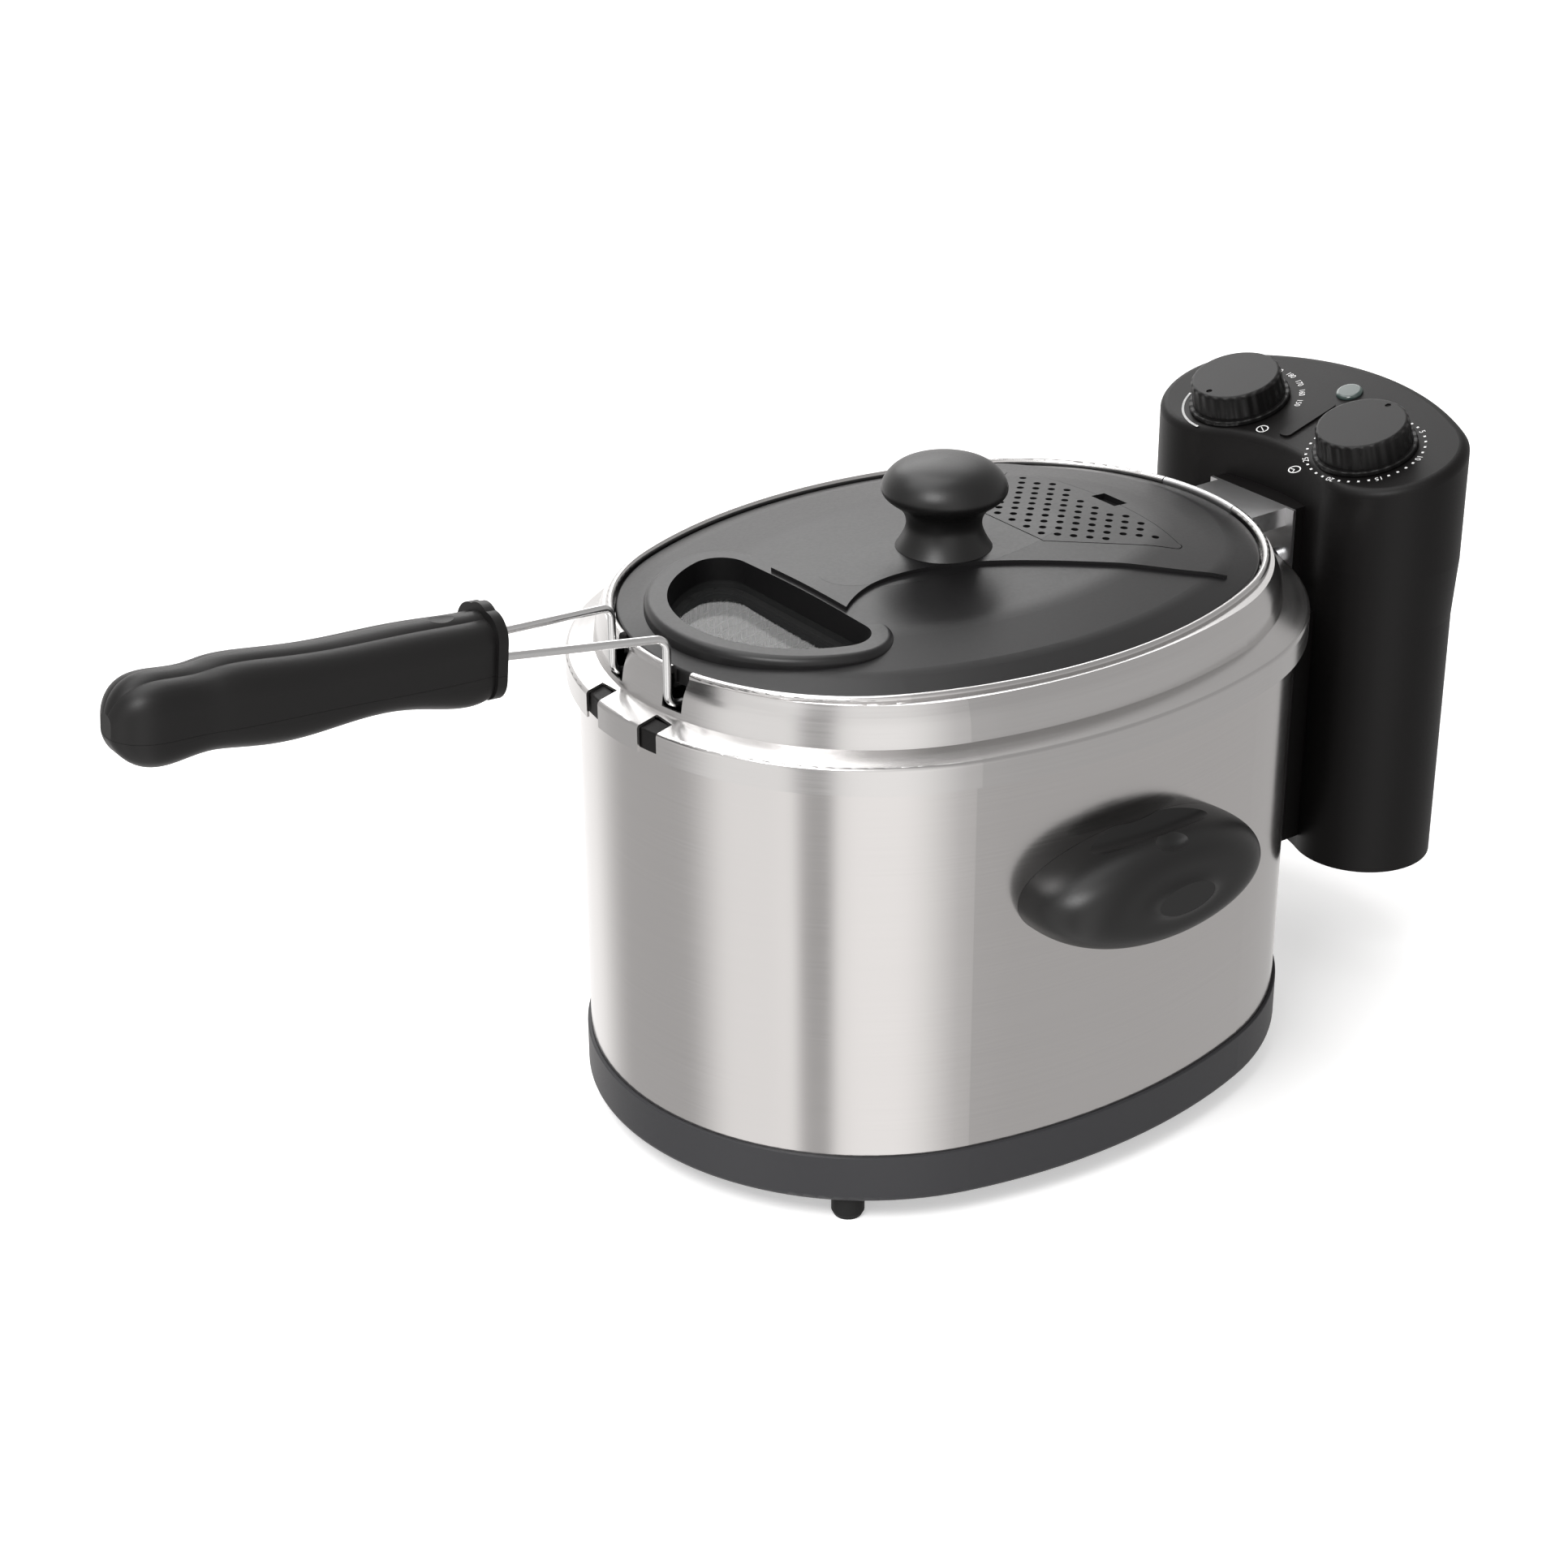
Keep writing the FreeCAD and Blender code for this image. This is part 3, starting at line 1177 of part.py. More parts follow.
def make_head(bowl):
    body = head_body()
    waist_x = HEAD_X - HEAD_WAIST
    neck = block(HOUSING_HALF_LENGTH - 20.0, waist_x + 6.0, -NECK_HALF_W, NECK_HALF_W, NECK_BOTTOM_Z, NECK_TOP_Z)
    neck = neck.cut(HOUSING.prism(NECK_OUT, 0, FAR))
    arm_top = TUBE_Z + TUBE_R + ARM_CLEAR + ARM_SHEET
    boss = block(PLATE_X + PLATE_T, waist_x + 3.0, -BOSS_HALF_W, BOSS_HALF_W, BOSS_BOTTOM_Z, arm_top)
    rib = prism([
        (RIB_U - RIB_L / 2.0, -RIB_W / 2.0, RIB_W * 0.4), (RIB_U + RIB_L / 2.0, -RIB_W / 2.0, RIB_W * 0.4),
        (RIB_U + RIB_L / 2.0, RIB_W / 2.0, RIB_W * 0.4), (RIB_U - RIB_L / 2.0, RIB_W / 2.0, RIB_W * 0.4),
    ], -1.0, RIB_UP)
    body = body.fuse([neck, boss, on_panel(rib).common(HEAD.prism(-PANEL_EDGE_R, 0, FAR))])
    inner = -HEAD_INSET - HEAD_WALL
    hollow = HEAD.prism(inner, HEAD_BOTTOM_Z + HEAD_WALL, FAR).cut(above_panel(HEAD_WALL))
    neck_hollow = block(HOUSING_HALF_LENGTH - 20.0, waist_x + 8.0, -NECK_HALF_W + HEAD_WALL,
                        NECK_HALF_W - HEAD_WALL, NECK_BOTTOM_Z + HEAD_WALL, NECK_TOP_Z - HEAD_WALL)
    neck_hollow = neck_hollow.cut(HOUSING.prism(NECK_OUT + HEAD_WALL, 0, FAR))
    shell = body.cut([hollow, neck_hollow])
    bush_x = HEAD_X + HEAD_BACK - HEAD_INSET
    holes = [rod(BUSH_R + SCREW_FIT, V(HEAD_X, 0, BUSH_Z), V(bush_x + 5.0, 0, BUSH_Z))]
    for side in (-1, 1):
        at = dial_place(side)
        holes.append(on_panel(rod(BUSHING_R + SCREW_FIT, at - UP * 10.0, at + UP * 5.0)))
        tube_from = V(PLATE_X - 5.0, side * TUBE_Y, TUBE_Z)
        holes.append(rod(TUBE_R + SCREW_CLEAR, tube_from, V(HEAD_X, side * TUBE_Y, TUBE_Z)))
        screw_from = V(PLATE_X - 5.0, side * BRACKET_SCREW_Y, BRACKET_SCREW_Z)
        holes.append(rod(BRACKET_SCREW_R + SCREW_CLEAR, screw_from,
                         V(HEAD_X, side * BRACKET_SCREW_Y, BRACKET_SCREW_Z)))
    holes.append(on_panel(rod(LENS_R + SCREW_FIT, V(LENS_U, 0, -10), V(LENS_U, 0, 5))))
    holes.append(rod(CAPILLARY_R + SCREW_CLEAR, V(PLATE_X - 5.0, 0, TUBE_Z), V(HEAD_X, 0, TUBE_Z)))
    holes.append(rod(PLUNGER_R + PLUNGER_CLEAR, V(HOUSING_HALF_LENGTH, 0, SWITCH_Z), V(waist_x, 0, SWITCH_Z)))
    shell = shell.cut(holes)
    cover_zone = block(HEAD_X + COVER_U, FAR, -FAR, FAR, 0, COVER_TOP_Z)
    front_zone = block(HEAD_X + COVER_U - COVER_GAP, FAR, -FAR, FAR, 0, COVER_TOP_Z + COVER_GAP)
    front = shell.cut(front_zone)
    cover = shell.common(cover_zone)
    post_x = HEAD_X + COVER_U - COVER_GAP
    screws = []
    back_x = HEAD_X + HEAD_BACK - HEAD_INSET
    for side in (-1, 1):
        y = side * COVER_SCREW_Y
        z = COVER_SCREW_LOW_Z
        wall_x = HEAD.x + HEAD.back - HEAD.back_r + math.sqrt((HEAD.back_r - HEAD_INSET) ** 2 - y ** 2)
        seat_x = wall_x - COVER_SCREW_HEAD_H - 1.0
        post = rod(COVER_POST_R, V(CHASSIS_X + CHASSIS_T, y, z), V(seat_x - 2.5, y, z))
        cup = rod(COVER_POST_R + 1.0, V(seat_x - 2.0, y, z), V(back_x, y, z))
        cup = cup.common(HEAD.prism(-HEAD_INSET, 0, FAR))
        cover = cover.fuse(cup)
        cover = cover.cut(rod(COVER_SCREW_HEAD_R + SCREW_CLEAR, V(seat_x, y, z), V(back_x + 5.0, y, z)))
        cover = cover.cut(rod(COVER_SCREW_R + SCREW_CLEAR, V(HEAD_X, y, z), V(back_x, y, z)))
        post = post.cut(rod(COVER_SCREW_R + SCREW_FIT, V(seat_x - 16.0, y, z), V(back_x, y, z)))
        screws.append(round_screw(COVER_SCREW_R, 16.0, COVER_SCREW_HEAD_R, COVER_SCREW_HEAD_H,
                                  V(seat_x, y, z), V(-1, 0, 0)))
        COVER_POSTS.append(post)
    emit("head_shell", front)
    emit("head_rear_cover", cover)
    emit("cover_screws", group(screws))
    bush = rod(BUSH_R, V(bush_x - BUSH_BACK, 0, BUSH_Z), V(bush_x + BUSH_FLANGE_H - 0.5, 0, BUSH_Z))
    flange = rod(BUSH_FLANGE_R, V(bush_x + PART_GAP, 0, BUSH_Z), V(bush_x + HEAD_INSET, 0, BUSH_Z))
    lip_x = bush_x - HEAD_WALL - PART_GAP
    lip = rod(BUSH_R + BUSH_LIP, V(lip_x - 3.0, 0, BUSH_Z), V(lip_x - 0.6, 0, BUSH_Z))
    bush = bush.common(block(0, bush_x + HEAD_INSET, -FAR, FAR, 0, FAR)).fuse([flange, lip])
    emit("cord_bush", bush.cut(rod(BUSH_BORE_R, V(HEAD_X, 0, BUSH_Z), V(FAR, 0, BUSH_Z))))
    make_bracket(bowl, arm_top)
    make_dials()
    make_inside()


COVER_POSTS = []


def make_bracket(bowl, arm_top):
    inner_top = arm_top - ARM_SHEET
    plate = block(PLATE_X, PLATE_X + PLATE_T, -PLATE_HALF_W, PLATE_HALF_W, PLATE_BOTTOM_Z, arm_top)
    arm = block(ARM_START_X, PLATE_X + 0.5, -ARM_HALF_W, ARM_HALF_W, ARM_BOTTOM_Z, arm_top)
    arm = arm.cut(block(ARM_START_X - 1.0, PLATE_X, -ARM_HALF_W + ARM_SHEET, ARM_HALF_W - ARM_SHEET,
                        ARM_BOTTOM_Z - 1.0, inner_top))
    saddle = bowl.common(arm_zone(ARM_HALF_W, inner_top + 0.2))
    bracket = plate.fuse([arm, saddle])
    holes = []
    screws = []
    nuts = []
    seat = V(PLATE_X, 0, BRACKET_SCREW_Z)
    back_x = CHASSIS_X + CHASSIS_T
    for side in (-1, 1):
        y = side * TUBE_Y
        holes.append(rod(TUBE_R + SCREW_CLEAR, V(PLATE_X - 1.0, y, TUBE_Z), V(PLATE_X + 5.0, y, TUBE_Z)))
        at = seat + V(0, side * BRACKET_SCREW_Y, 0)
        holes.append(rod(BRACKET_SCREW_R + SCREW_CLEAR, at - V(5, 0, 0), at + V(5, 0, 0)))
        screws.append(round_screw(BRACKET_SCREW_R, back_x + NUT_H + 1.5 - PLATE_X, BRACKET_SCREW_HEAD_R,
                                  BRACKET_SCREW_HEAD_H, at, V(1, 0, 0)))
        sides = []
        for k in range(6):
            turn = math.radians(60.0 * k)
            sides.append(V(back_x, at.y + NUT_R * math.cos(turn), at.z + NUT_R * math.sin(turn)))
        nut = Part.Face(Part.makePolygon(sides + [sides[0]])).extrude(V(NUT_H, 0, 0))
        nuts.append(nut.cut(rod(BRACKET_SCREW_R + SCREW_FIT, at, V(FAR, at.y, at.z))))
    holes.append(rod(CAPILLARY_R + SCREW_CLEAR, V(PLATE_X - 1.0, 0, TUBE_Z), V(PLATE_X + 5.0, 0, TUBE_Z)))
    emit("element_bracket", bracket.cut(holes))
    emit("bracket_screws", group(screws))
    emit("bracket_nuts", group(nuts))


def make_dials():
    down = V(0, 0, -1)
    flat_cut = block(SHAFT_FLAT, FAR, -FAR, FAR, 1.0, FAR)
    shaft = rod(SHAFT_R, down * SHAFT_DOWN, UP * SHAFT_UP).cut(flat_cut)
    bore = rod(SHAFT_R + SCREW_FIT, ZERO, UP * (SHAFT_UP + 0.3))
    bore = bore.cut(block(SHAFT_FLAT + SCREW_FIT, FAR, -FAR, FAR, 0.0, FAR))
    dial = turned([
        (0, DIAL_H, 0),
        (DIAL_TOP_R, DIAL_H, 1.5),
        (DIAL_R, DIAL_GAP + DIAL_FLANGE_H, 0),
        (DIAL_FLANGE_R, DIAL_GAP + DIAL_FLANGE_H, 0.6),
        (DIAL_FLANGE_R, DIAL_GAP, 0),
        (DIAL_TOP_R - DIAL_WALL, DIAL_GAP, 0),
        (DIAL_TOP_R - DIAL_WALL, DIAL_H - DIAL_WALL, 0),
        (DIAL_STEM_R, DIAL_H - DIAL_WALL, 0),
        (DIAL_STEM_R, 1.2, 0),
        (0, 1.2, 0),
    ]).cut(bore)
    run = rod(SHAFT_R + SHAFT_RUN_FIT, down * (SHAFT_DOWN + 0.5), UP * 5.0)
    bushing = rod(BUSHING_R, down * (HEAD_WALL + 1.0), UP * BUSHING_UP)
    top = -HEAD_WALL - PART_GAP
    regulator = block(-REGULATOR_U / 2.0, REGULATOR_U / 2.0, -REGULATOR_V / 2.0, REGULATOR_V / 2.0,
                      top - REGULATOR_H, top)
    timer = rod(TIMER_R, UP * (top - TIMER_H), UP * top)
    names = {1: "thermostat", -1: "timer"}
    for side in (-1, 1):
        at = dial_place(side)
        dot_turn = 180.0 if side > 0 else 0.0
        dot = rod(DIAL_DOT_R, V(DIAL_DOT_AT, 0, DIAL_H - DIAL_DOT_H), V(DIAL_DOT_AT, 0, DIAL_H + 1.0))
        dot.rotate(ZERO, UP, dot_turn)
        emit(names[side] + "_knob", on_panel(dial.cut(dot).translated(at)))
        emit(names[side] + "_shaft", on_panel(shaft.translated(at)))
        core = regulator if side > 0 else timer
        emit(names[side] + "_body", on_panel(core.fuse(bushing).cut(run).translated(at)))
    lens_at = V(LENS_U, 0, 0)
    lens = turned([
        (0, LENS_UP, 0), (LENS_FLANGE_R, LENS_UP, LENS_UP * 0.8), (LENS_FLANGE_R, PART_GAP, 0),
        (LENS_R, PART_GAP, 0), (LENS_R, -LENS_TUBE, 0), (LAMP_R + SCREW_FIT, -LENS_TUBE, 0),
        (LAMP_R + SCREW_FIT, -LENS_UP, 0), (0, -LENS_UP, 0),
    ])
    emit("indicator_lens", on_panel(lens.translated(lens_at)))
    lamp = turned([(0, -LENS_UP - 0.4, 0), (LAMP_R, -LENS_UP - 0.4, LAMP_R * 0.7),
                   (LAMP_R, -LENS_UP - LAMP_L, 0), (0, -LENS_UP - LAMP_L, 0)])
    emit("indicator_lamp", on_panel(lamp.translated(lens_at)))


def make_inside():
    tube_points = [
        V(TUBE_END_X, -TUBE_Y, TUBE_Z),
        V(TUBE_LEG_X, -TUBE_Y, TUBE_Z),
        V(TUBE_LEG_X, -TUBE_Y, LOOP_Z),
        V(LOOP_NEAR_X, -LOOP_HALF_W, LOOP_Z),
        V(LOOP_FAR_X, -LOOP_HALF_W, LOOP_Z),
        V(LOOP_FAR_X, LOOP_HALF_W, LOOP_Z),
        V(LOOP_NEAR_X, LOOP_HALF_W, LOOP_Z),
        V(TUBE_LEG_X, TUBE_Y, LOOP_Z),
        V(TUBE_LEG_X, TUBE_Y, TUBE_Z),
        V(TUBE_END_X, TUBE_Y, TUBE_Z),
    ]
    bends = [TUBE_BEND_R, TUBE_BEND_R, LOOP_SMALL_R, LOOP_LARGE_R, LOOP_LARGE_R, LOOP_SMALL_R,
             TUBE_BEND_R, TUBE_BEND_R]
    element = bent_rod(TUBE_R, tube_points, bends)
    for side in (-1, 1):
        pin_from = V(TUBE_END_X - 1.0, side * TUBE_Y, TUBE_Z)
        element = element.fuse(rod(PIN_R, pin_from, pin_from + V(PIN_L + 1.0, 0, 0)))
    emit("heating_element", element)
    sensor_points = [
        V(BULB_END_X - 2.0, BULB_Y, LOOP_Z),
        V(LOOP_NEAR_X - 15.0, BULB_Y, LOOP_Z),
        V(TUBE_LEG_X, 0, LOOP_Z),
        V(TUBE_LEG_X, 0, TUBE_Z),
        V(HEAD_X - 3.0, 0, TUBE_Z),
    ]
    sensor = bent_rod(CAPILLARY_R, sensor_points, [8.0, 6.0, 6.0])
    bulb = rod(BULB_R, V(BULB_START_X, BULB_Y, LOOP_Z), V(BULB_END_X, BULB_Y, LOOP_Z))
    emit("thermostat_bulb", sensor.fuse(bulb))
    tube_ring = rod(TUBE_R + PART_GAP + CLIP_SHEET, V(CLIP_X, -LOOP_HALF_W, LOOP_Z),
                    V(CLIP_X + CLIP_L, -LOOP_HALF_W, LOOP_Z))
    bulb_ring = rod(BULB_R + PART_GAP + CLIP_SHEET, V(CLIP_X, BULB_Y, LOOP_Z), V(CLIP_X + CLIP_L, BULB_Y, LOOP_Z))
    web = block(CLIP_X, CLIP_X + CLIP_L, -LOOP_HALF_W, BULB_Y, LOOP_Z - CLIP_SHEET, LOOP_Z + CLIP_SHEET)
    clip = tube_ring.fuse([bulb_ring, web])
    clip = clip.cut(rod(TUBE_R + PART_GAP, V(CLIP_X - 5.0, -LOOP_HALF_W, LOOP_Z),
                        V(CLIP_X + CLIP_L + 5.0, -LOOP_HALF_W, LOOP_Z)))
    clip = clip.cut(rod(BULB_R + PART_GAP, V(CLIP_X - 5.0, BULB_Y, LOOP_Z), V(CLIP_X + CLIP_L + 5.0, BULB_Y, LOOP_Z)))
    emit("bulb_clip", clip)
    chassis = block(CHASSIS_X, CHASSIS_X + CHASSIS_T, -CHASSIS_HALF_W, CHASSIS_HALF_W,
                    CHASSIS_BOTTOM_Z, CHASSIS_TOP_Z)
    for post in COVER_POSTS:
        chassis = chassis.fuse(post)
    for side in (-1, 1):
        y = side * BRACKET_SCREW_Y
        chassis = chassis.cut(rod(BRACKET_SCREW_R + SCREW_CLEAR, V(PLATE_X, y, BRACKET_SCREW_Z),
                                  V(HEAD_X, y, BRACKET_SCREW_Z)))
    chassis = chassis.cut(rod(PLUNGER_R + PLUNGER_CLEAR, V(PLATE_X, 0, SWITCH_Z), V(HEAD_X, 0, SWITCH_Z)))
    emit("head_chassis", chassis)
    seat_x = CHASSIS_X + CHASSIS_T + PART_GAP
    terminal = block(seat_x, seat_x + TERMINAL_D, -TERMINAL_W / 2.0, TERMINAL_W / 2.0, TERMINAL_Z,
                     TERMINAL_Z + TERMINAL_H)
    pitch = TERMINAL_W / TERMINAL_POLES
    for k in range(TERMINAL_POLES):
        y = pitch * (k + 0.5) - TERMINAL_W / 2.0
        hole_x = seat_x + TERMINAL_D * 0.6
        terminal = terminal.cut(rod(TERMINAL_HOLE_R, V(hole_x, y, TERMINAL_Z - 5.0),
                                    V(hole_x, y, TERMINAL_Z + TERMINAL_H + 5.0)))
    emit("terminal_block", terminal)
    switch = block(seat_x, seat_x + SWITCH_D, -SWITCH_W / 2.0, SWITCH_W / 2.0, SWITCH_Z - SWITCH_H / 2.0,
                   SWITCH_Z + SWITCH_H / 2.0)
    plunger = rod(PLUNGER_R, V(HOUSING_HALF_LENGTH + PLUNGER_GAP, 0, SWITCH_Z), V(seat_x + 2.0, 0, SWITCH_Z))
    emit("safety_switch", switch.fuse(plunger))


make_base()
make_housing()
make_collar()
make_pan()
WHOLE_RIM = whole_rim()
make_rim(WHOLE_RIM)
make_basket()
make_grip()
make_lid()
make_head(WHOLE_RIM)

for written in WRITTEN:
    print(written[0], written[1], written[2])
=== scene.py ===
"""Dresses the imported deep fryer: finishes, woven basket, dial marks and studio."""
import json
import logging
import math
from dataclasses import dataclass
from enum import Enum
from typing import Any, Dict, List, Sequence, Tuple

import bmesh
import bpy
from mathutils import Matrix, Vector

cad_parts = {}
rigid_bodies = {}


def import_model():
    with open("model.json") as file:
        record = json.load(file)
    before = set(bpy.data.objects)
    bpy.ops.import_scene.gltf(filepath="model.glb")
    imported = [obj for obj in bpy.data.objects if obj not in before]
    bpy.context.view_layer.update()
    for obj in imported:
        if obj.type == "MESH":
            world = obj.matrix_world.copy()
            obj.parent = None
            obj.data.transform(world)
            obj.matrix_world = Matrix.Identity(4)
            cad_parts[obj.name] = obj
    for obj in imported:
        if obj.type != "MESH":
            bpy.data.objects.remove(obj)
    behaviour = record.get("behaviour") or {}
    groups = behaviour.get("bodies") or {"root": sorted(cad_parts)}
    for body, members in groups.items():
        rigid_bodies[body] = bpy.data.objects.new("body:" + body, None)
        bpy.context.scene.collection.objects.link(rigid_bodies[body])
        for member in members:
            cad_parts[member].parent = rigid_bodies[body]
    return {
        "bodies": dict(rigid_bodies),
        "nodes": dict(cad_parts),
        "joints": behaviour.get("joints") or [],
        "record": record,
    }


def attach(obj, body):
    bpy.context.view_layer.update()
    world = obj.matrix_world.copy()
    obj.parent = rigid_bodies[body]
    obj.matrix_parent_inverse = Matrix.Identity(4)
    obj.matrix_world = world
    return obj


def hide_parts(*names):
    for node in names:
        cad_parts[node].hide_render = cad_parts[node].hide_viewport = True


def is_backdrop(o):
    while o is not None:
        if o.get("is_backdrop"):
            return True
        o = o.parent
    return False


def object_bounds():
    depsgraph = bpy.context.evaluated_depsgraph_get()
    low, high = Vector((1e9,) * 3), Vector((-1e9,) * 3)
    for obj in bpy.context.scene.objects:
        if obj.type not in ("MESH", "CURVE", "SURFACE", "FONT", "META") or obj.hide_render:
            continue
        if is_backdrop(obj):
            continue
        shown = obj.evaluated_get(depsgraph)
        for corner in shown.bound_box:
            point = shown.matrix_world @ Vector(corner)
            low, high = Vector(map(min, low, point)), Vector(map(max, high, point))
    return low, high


LOG = logging.getLogger("fryer")

Colour = Tuple[float, float, float]
Point = Tuple[float, float, float]

# The pot's middle and the sloped panel with its dials, in metres and degrees, as the CAD has them.
POT_X = 0.0564
PANEL_FROM_POT = 0.1988
PANEL_HEIGHT = 0.2352
PANEL_SLOPE = 16.0
DIAL_UPHILL = -0.0058
DIAL_ASIDE = 0.0374
DOT_RING = 0.0246

# What the noise of a finish varies about.
NOISE_MIDDLE = 0.5


class Sock:
    """A shader socket whose arithmetic adds Math nodes."""

    def __init__(self, tree: "ShaderTree", socket: Any) -> None:
        """Keep the socket with its tree."""
        self.tree = tree
        self.socket = socket

    def _math(self, operation: str, first: Any, second: Any) -> "Sock":
        """Add one Math node.

        Args:
            operation: the node's operation.
            first: first value or socket.
            second: second value or socket.

        Returns:
            The node's result.
        """
        made = self.tree.node("ShaderNodeMath", {"operation": operation}, {0: first, 1: second})
        return Sock(self.tree, made.outputs[0])

    def __add__(self, other: Any) -> "Sock":
        """Sum."""
        return self._math("ADD", self, other)

    __radd__ = __add__

    def __sub__(self, other: Any) -> "Sock":
        """Difference."""
        return self._math("SUBTRACT", self, other)

    def __mul__(self, other: Any) -> "Sock":
        """Product."""
        return self._math("MULTIPLY", self, other)

    def __pow__(self, other: Any) -> "Sock":
        """Power."""
        return self._math("POWER", self, other)

    def __abs__(self) -> "Sock":
        """Size without sign."""
        return self._math("ABSOLUTE", self, 0.0)

    def fade(self, near: float, far: float, low: float, high: float) -> "Sock":
        """Smooth step of this value.

        Args:
            near: value at which the step starts.
            far: value at which it ends.
            low: result up to near.
            high: result past far.

        Returns:
            The stepped value.
        """
        made = self.tree.node("ShaderNodeMapRange", {"interpolation_type": "SMOOTHSTEP"},
                              {0: self, 1: near, 2: far, 3: low, 4: high})
        return Sock(self.tree, made.outputs[0])


class ShaderTree:
    """One material with a Principled shader, built node by node."""

    def __init__(self, name: str) -> None:
        """Make the empty material.

        Args:
            name: the material's name.
        """
        self.material = bpy.data.materials.new(name)
        self.material.use_nodes = True
        self.tree = self.material.node_tree
        self.shader = next(n for n in self.tree.nodes if n.type == "BSDF_PRINCIPLED")
        coords = self.tree.nodes.new("ShaderNodeTexCoord")
        self.place = Sock(self, coords.outputs["Object"])

    def node(self, kind: str, settings: Dict[str, Any], inputs: Dict[Any, Any]) -> Any:
        """Add a node.

        Args:
            kind: Blender's node type.
            settings: attributes set before the inputs.
            inputs: values or sockets by input name or number.

        Returns:
            The node.
        """
        made = self.tree.nodes.new(kind)
        for key, value in settings.items():
            setattr(made, key, value)
        for key, value in inputs.items():
            if isinstance(value, Sock):
                self.tree.links.new(value.socket, made.inputs[key])
            else:
                made.inputs[key].default_value = value
        return made

    def split(self, vector: Sock) -> Tuple[Sock, Sock, Sock]:
        """Three parts of a vector."""
        made = self.node("ShaderNodeSeparateXYZ", {}, {0: vector})
        return Sock(self, made.outputs[0]), Sock(self, made.outputs[1]), Sock(self, made.outputs[2])

    def noise(self, scale: Point, detail: float) -> Sock:
        """Noise stretched along the axes.

        Args:
            scale: repeats per metre along x, y and z.
            detail: octaves.

        Returns:
            The noise value, about 0.5 on average.
        """
        spread = self.node("ShaderNodeMapping", {}, {"Vector": self.place, "Scale": scale})
        made = self.node("ShaderNodeTexNoise", {}, {"Vector": Sock(self, spread.outputs[0]), "Scale": 1.0,
                                                    "Detail": detail})
        return Sock(self, made.outputs[0])

    def tint(self, factor: Sock, low: Colour, high: Colour) -> Sock:
        """Blend two colours by a factor.

        Args:
            factor: 0 to 1.
            low: colour at 0.
            high: colour at 1.

        Returns:
            The blended colour.
        """
        made = self.node("ShaderNodeMix", {"data_type": "RGBA"},
                         {0: factor, 6: (*low, 1.0), 7: (*high, 1.0)})
        return Sock(self, made.outputs[2])

    def feed(self, name: str, value: Any) -> None:
        """Set or link one socket of the shader.

        Args:
            name: the socket's name.
            value: a constant, or a socket to link.
        """
        socket = self.shader.inputs[name]
        if isinstance(value, Sock):
            self.tree.links.new(value.socket, socket)
        else:
            socket.default_value = value

    def bump(self, height: Sock, strength: float, distance: float) -> None:
        """Raise the surface's normal by a height field."""
        made = self.node("ShaderNodeBump", {},
                         {"Strength": strength, "Distance": distance, "Height": height})
        self.feed("Normal", Sock(self, made.outputs[0]))


@dataclass(frozen=True)
class LightBand:
    """One upright panel of the light tent round the object, in degrees from +X."""

    middle: float
    half: float
    soft: float
    glow: float

    def light(self, azimuth: Sock) -> Sock:
        """Brightness that the panel adds in a direction.

        Args:
            azimuth: the direction in degrees.

        Returns:
            The added brightness.
        """
        apart = azimuth.tree.node("ShaderNodeMath", {"operation": "WRAP"},
                                  {0: azimuth - self.middle, 1: 180.0, 2: -180.0})
        away = abs(Sock(azimuth.tree, apart.outputs[0]))
        return away.fade(self.half, self.half + self.soft, self.glow, 0.0)


class LightTent(ShaderTree):
    """The world's light: upright panels, dimmer overhead."""

    BANDS: Tuple[LightBand, ...] = (
        LightBand(72.0, 16.0, 34.0, 0.65),
        LightBand(190.0, 12.0, 24.0, 0.58),
        LightBand(213.0, 4.0, 6.0, -0.75),
        LightBand(238.0, 7.0, 38.0, 0.72),
    )
    BASE = 0.56
    OVERHEAD = 0.80
    OVERHEAD_FROM = 0.7
    WARMTH = (1.0, 0.985, 0.975, 1.0)

    def __init__(self, name: str) -> None:
        """Make the world and its panels.

        Args:
            name: the world's name.
        """
        self.world = bpy.data.worlds.new(name)
        self.world.use_nodes = True
        self.tree = self.world.node_tree
        self.shader = self.tree.nodes["Background"]
        coords = self.tree.nodes.new("ShaderNodeTexCoord")
        self.place = Sock(self, coords.outputs["Generated"])
        east, north, up = self.split(self.place)
        turn = self.node("ShaderNodeMath", {"operation": "ARCTAN2"}, {0: north, 1: east})
        azimuth = Sock(self, turn.outputs[0]) * (180.0 / math.pi)
        total: Any = self.BASE
        for band in self.BANDS:
            total = total + band.light(azimuth)
        self.feed("Strength", total * up.fade(0.0, self.OVERHEAD_FROM, 1.0, self.OVERHEAD))
        self.feed("Color", self.WARMTH)


class Grain(Enum):
    """How a finish's surface runs."""

    ROUND_BRUSH = "fine lines round the pot"
    POLISH = "polish lines round the pot"
    MOULD = "fine spark-eroded mould grain"
    SATIN = "soft satin paint"
    FELT = "matted fibres"
    CLEAR = "smooth and clear"


class Dial(Enum):
    """The two dials, by their side of the panel."""

    THERMOSTAT = 1
    TIMER = -1


def panel_matrix() -> Matrix:
    """Place of the panel's own plane in the shared frame."""
    lean = Matrix.Rotation(math.radians(-PANEL_SLOPE), 4, "Y")
    return Matrix.Translation((PANEL_FROM_POT + POT_X, 0.0, PANEL_HEIGHT)) @ lean


def dial_matrix(dial: Dial, lift: float = 0.0) -> Matrix:
    """Place of a dial's middle on the panel, or a little above it."""
    return panel_matrix() @ Matrix.Translation((DIAL_UPHILL, dial.value * DIAL_ASIDE, lift))


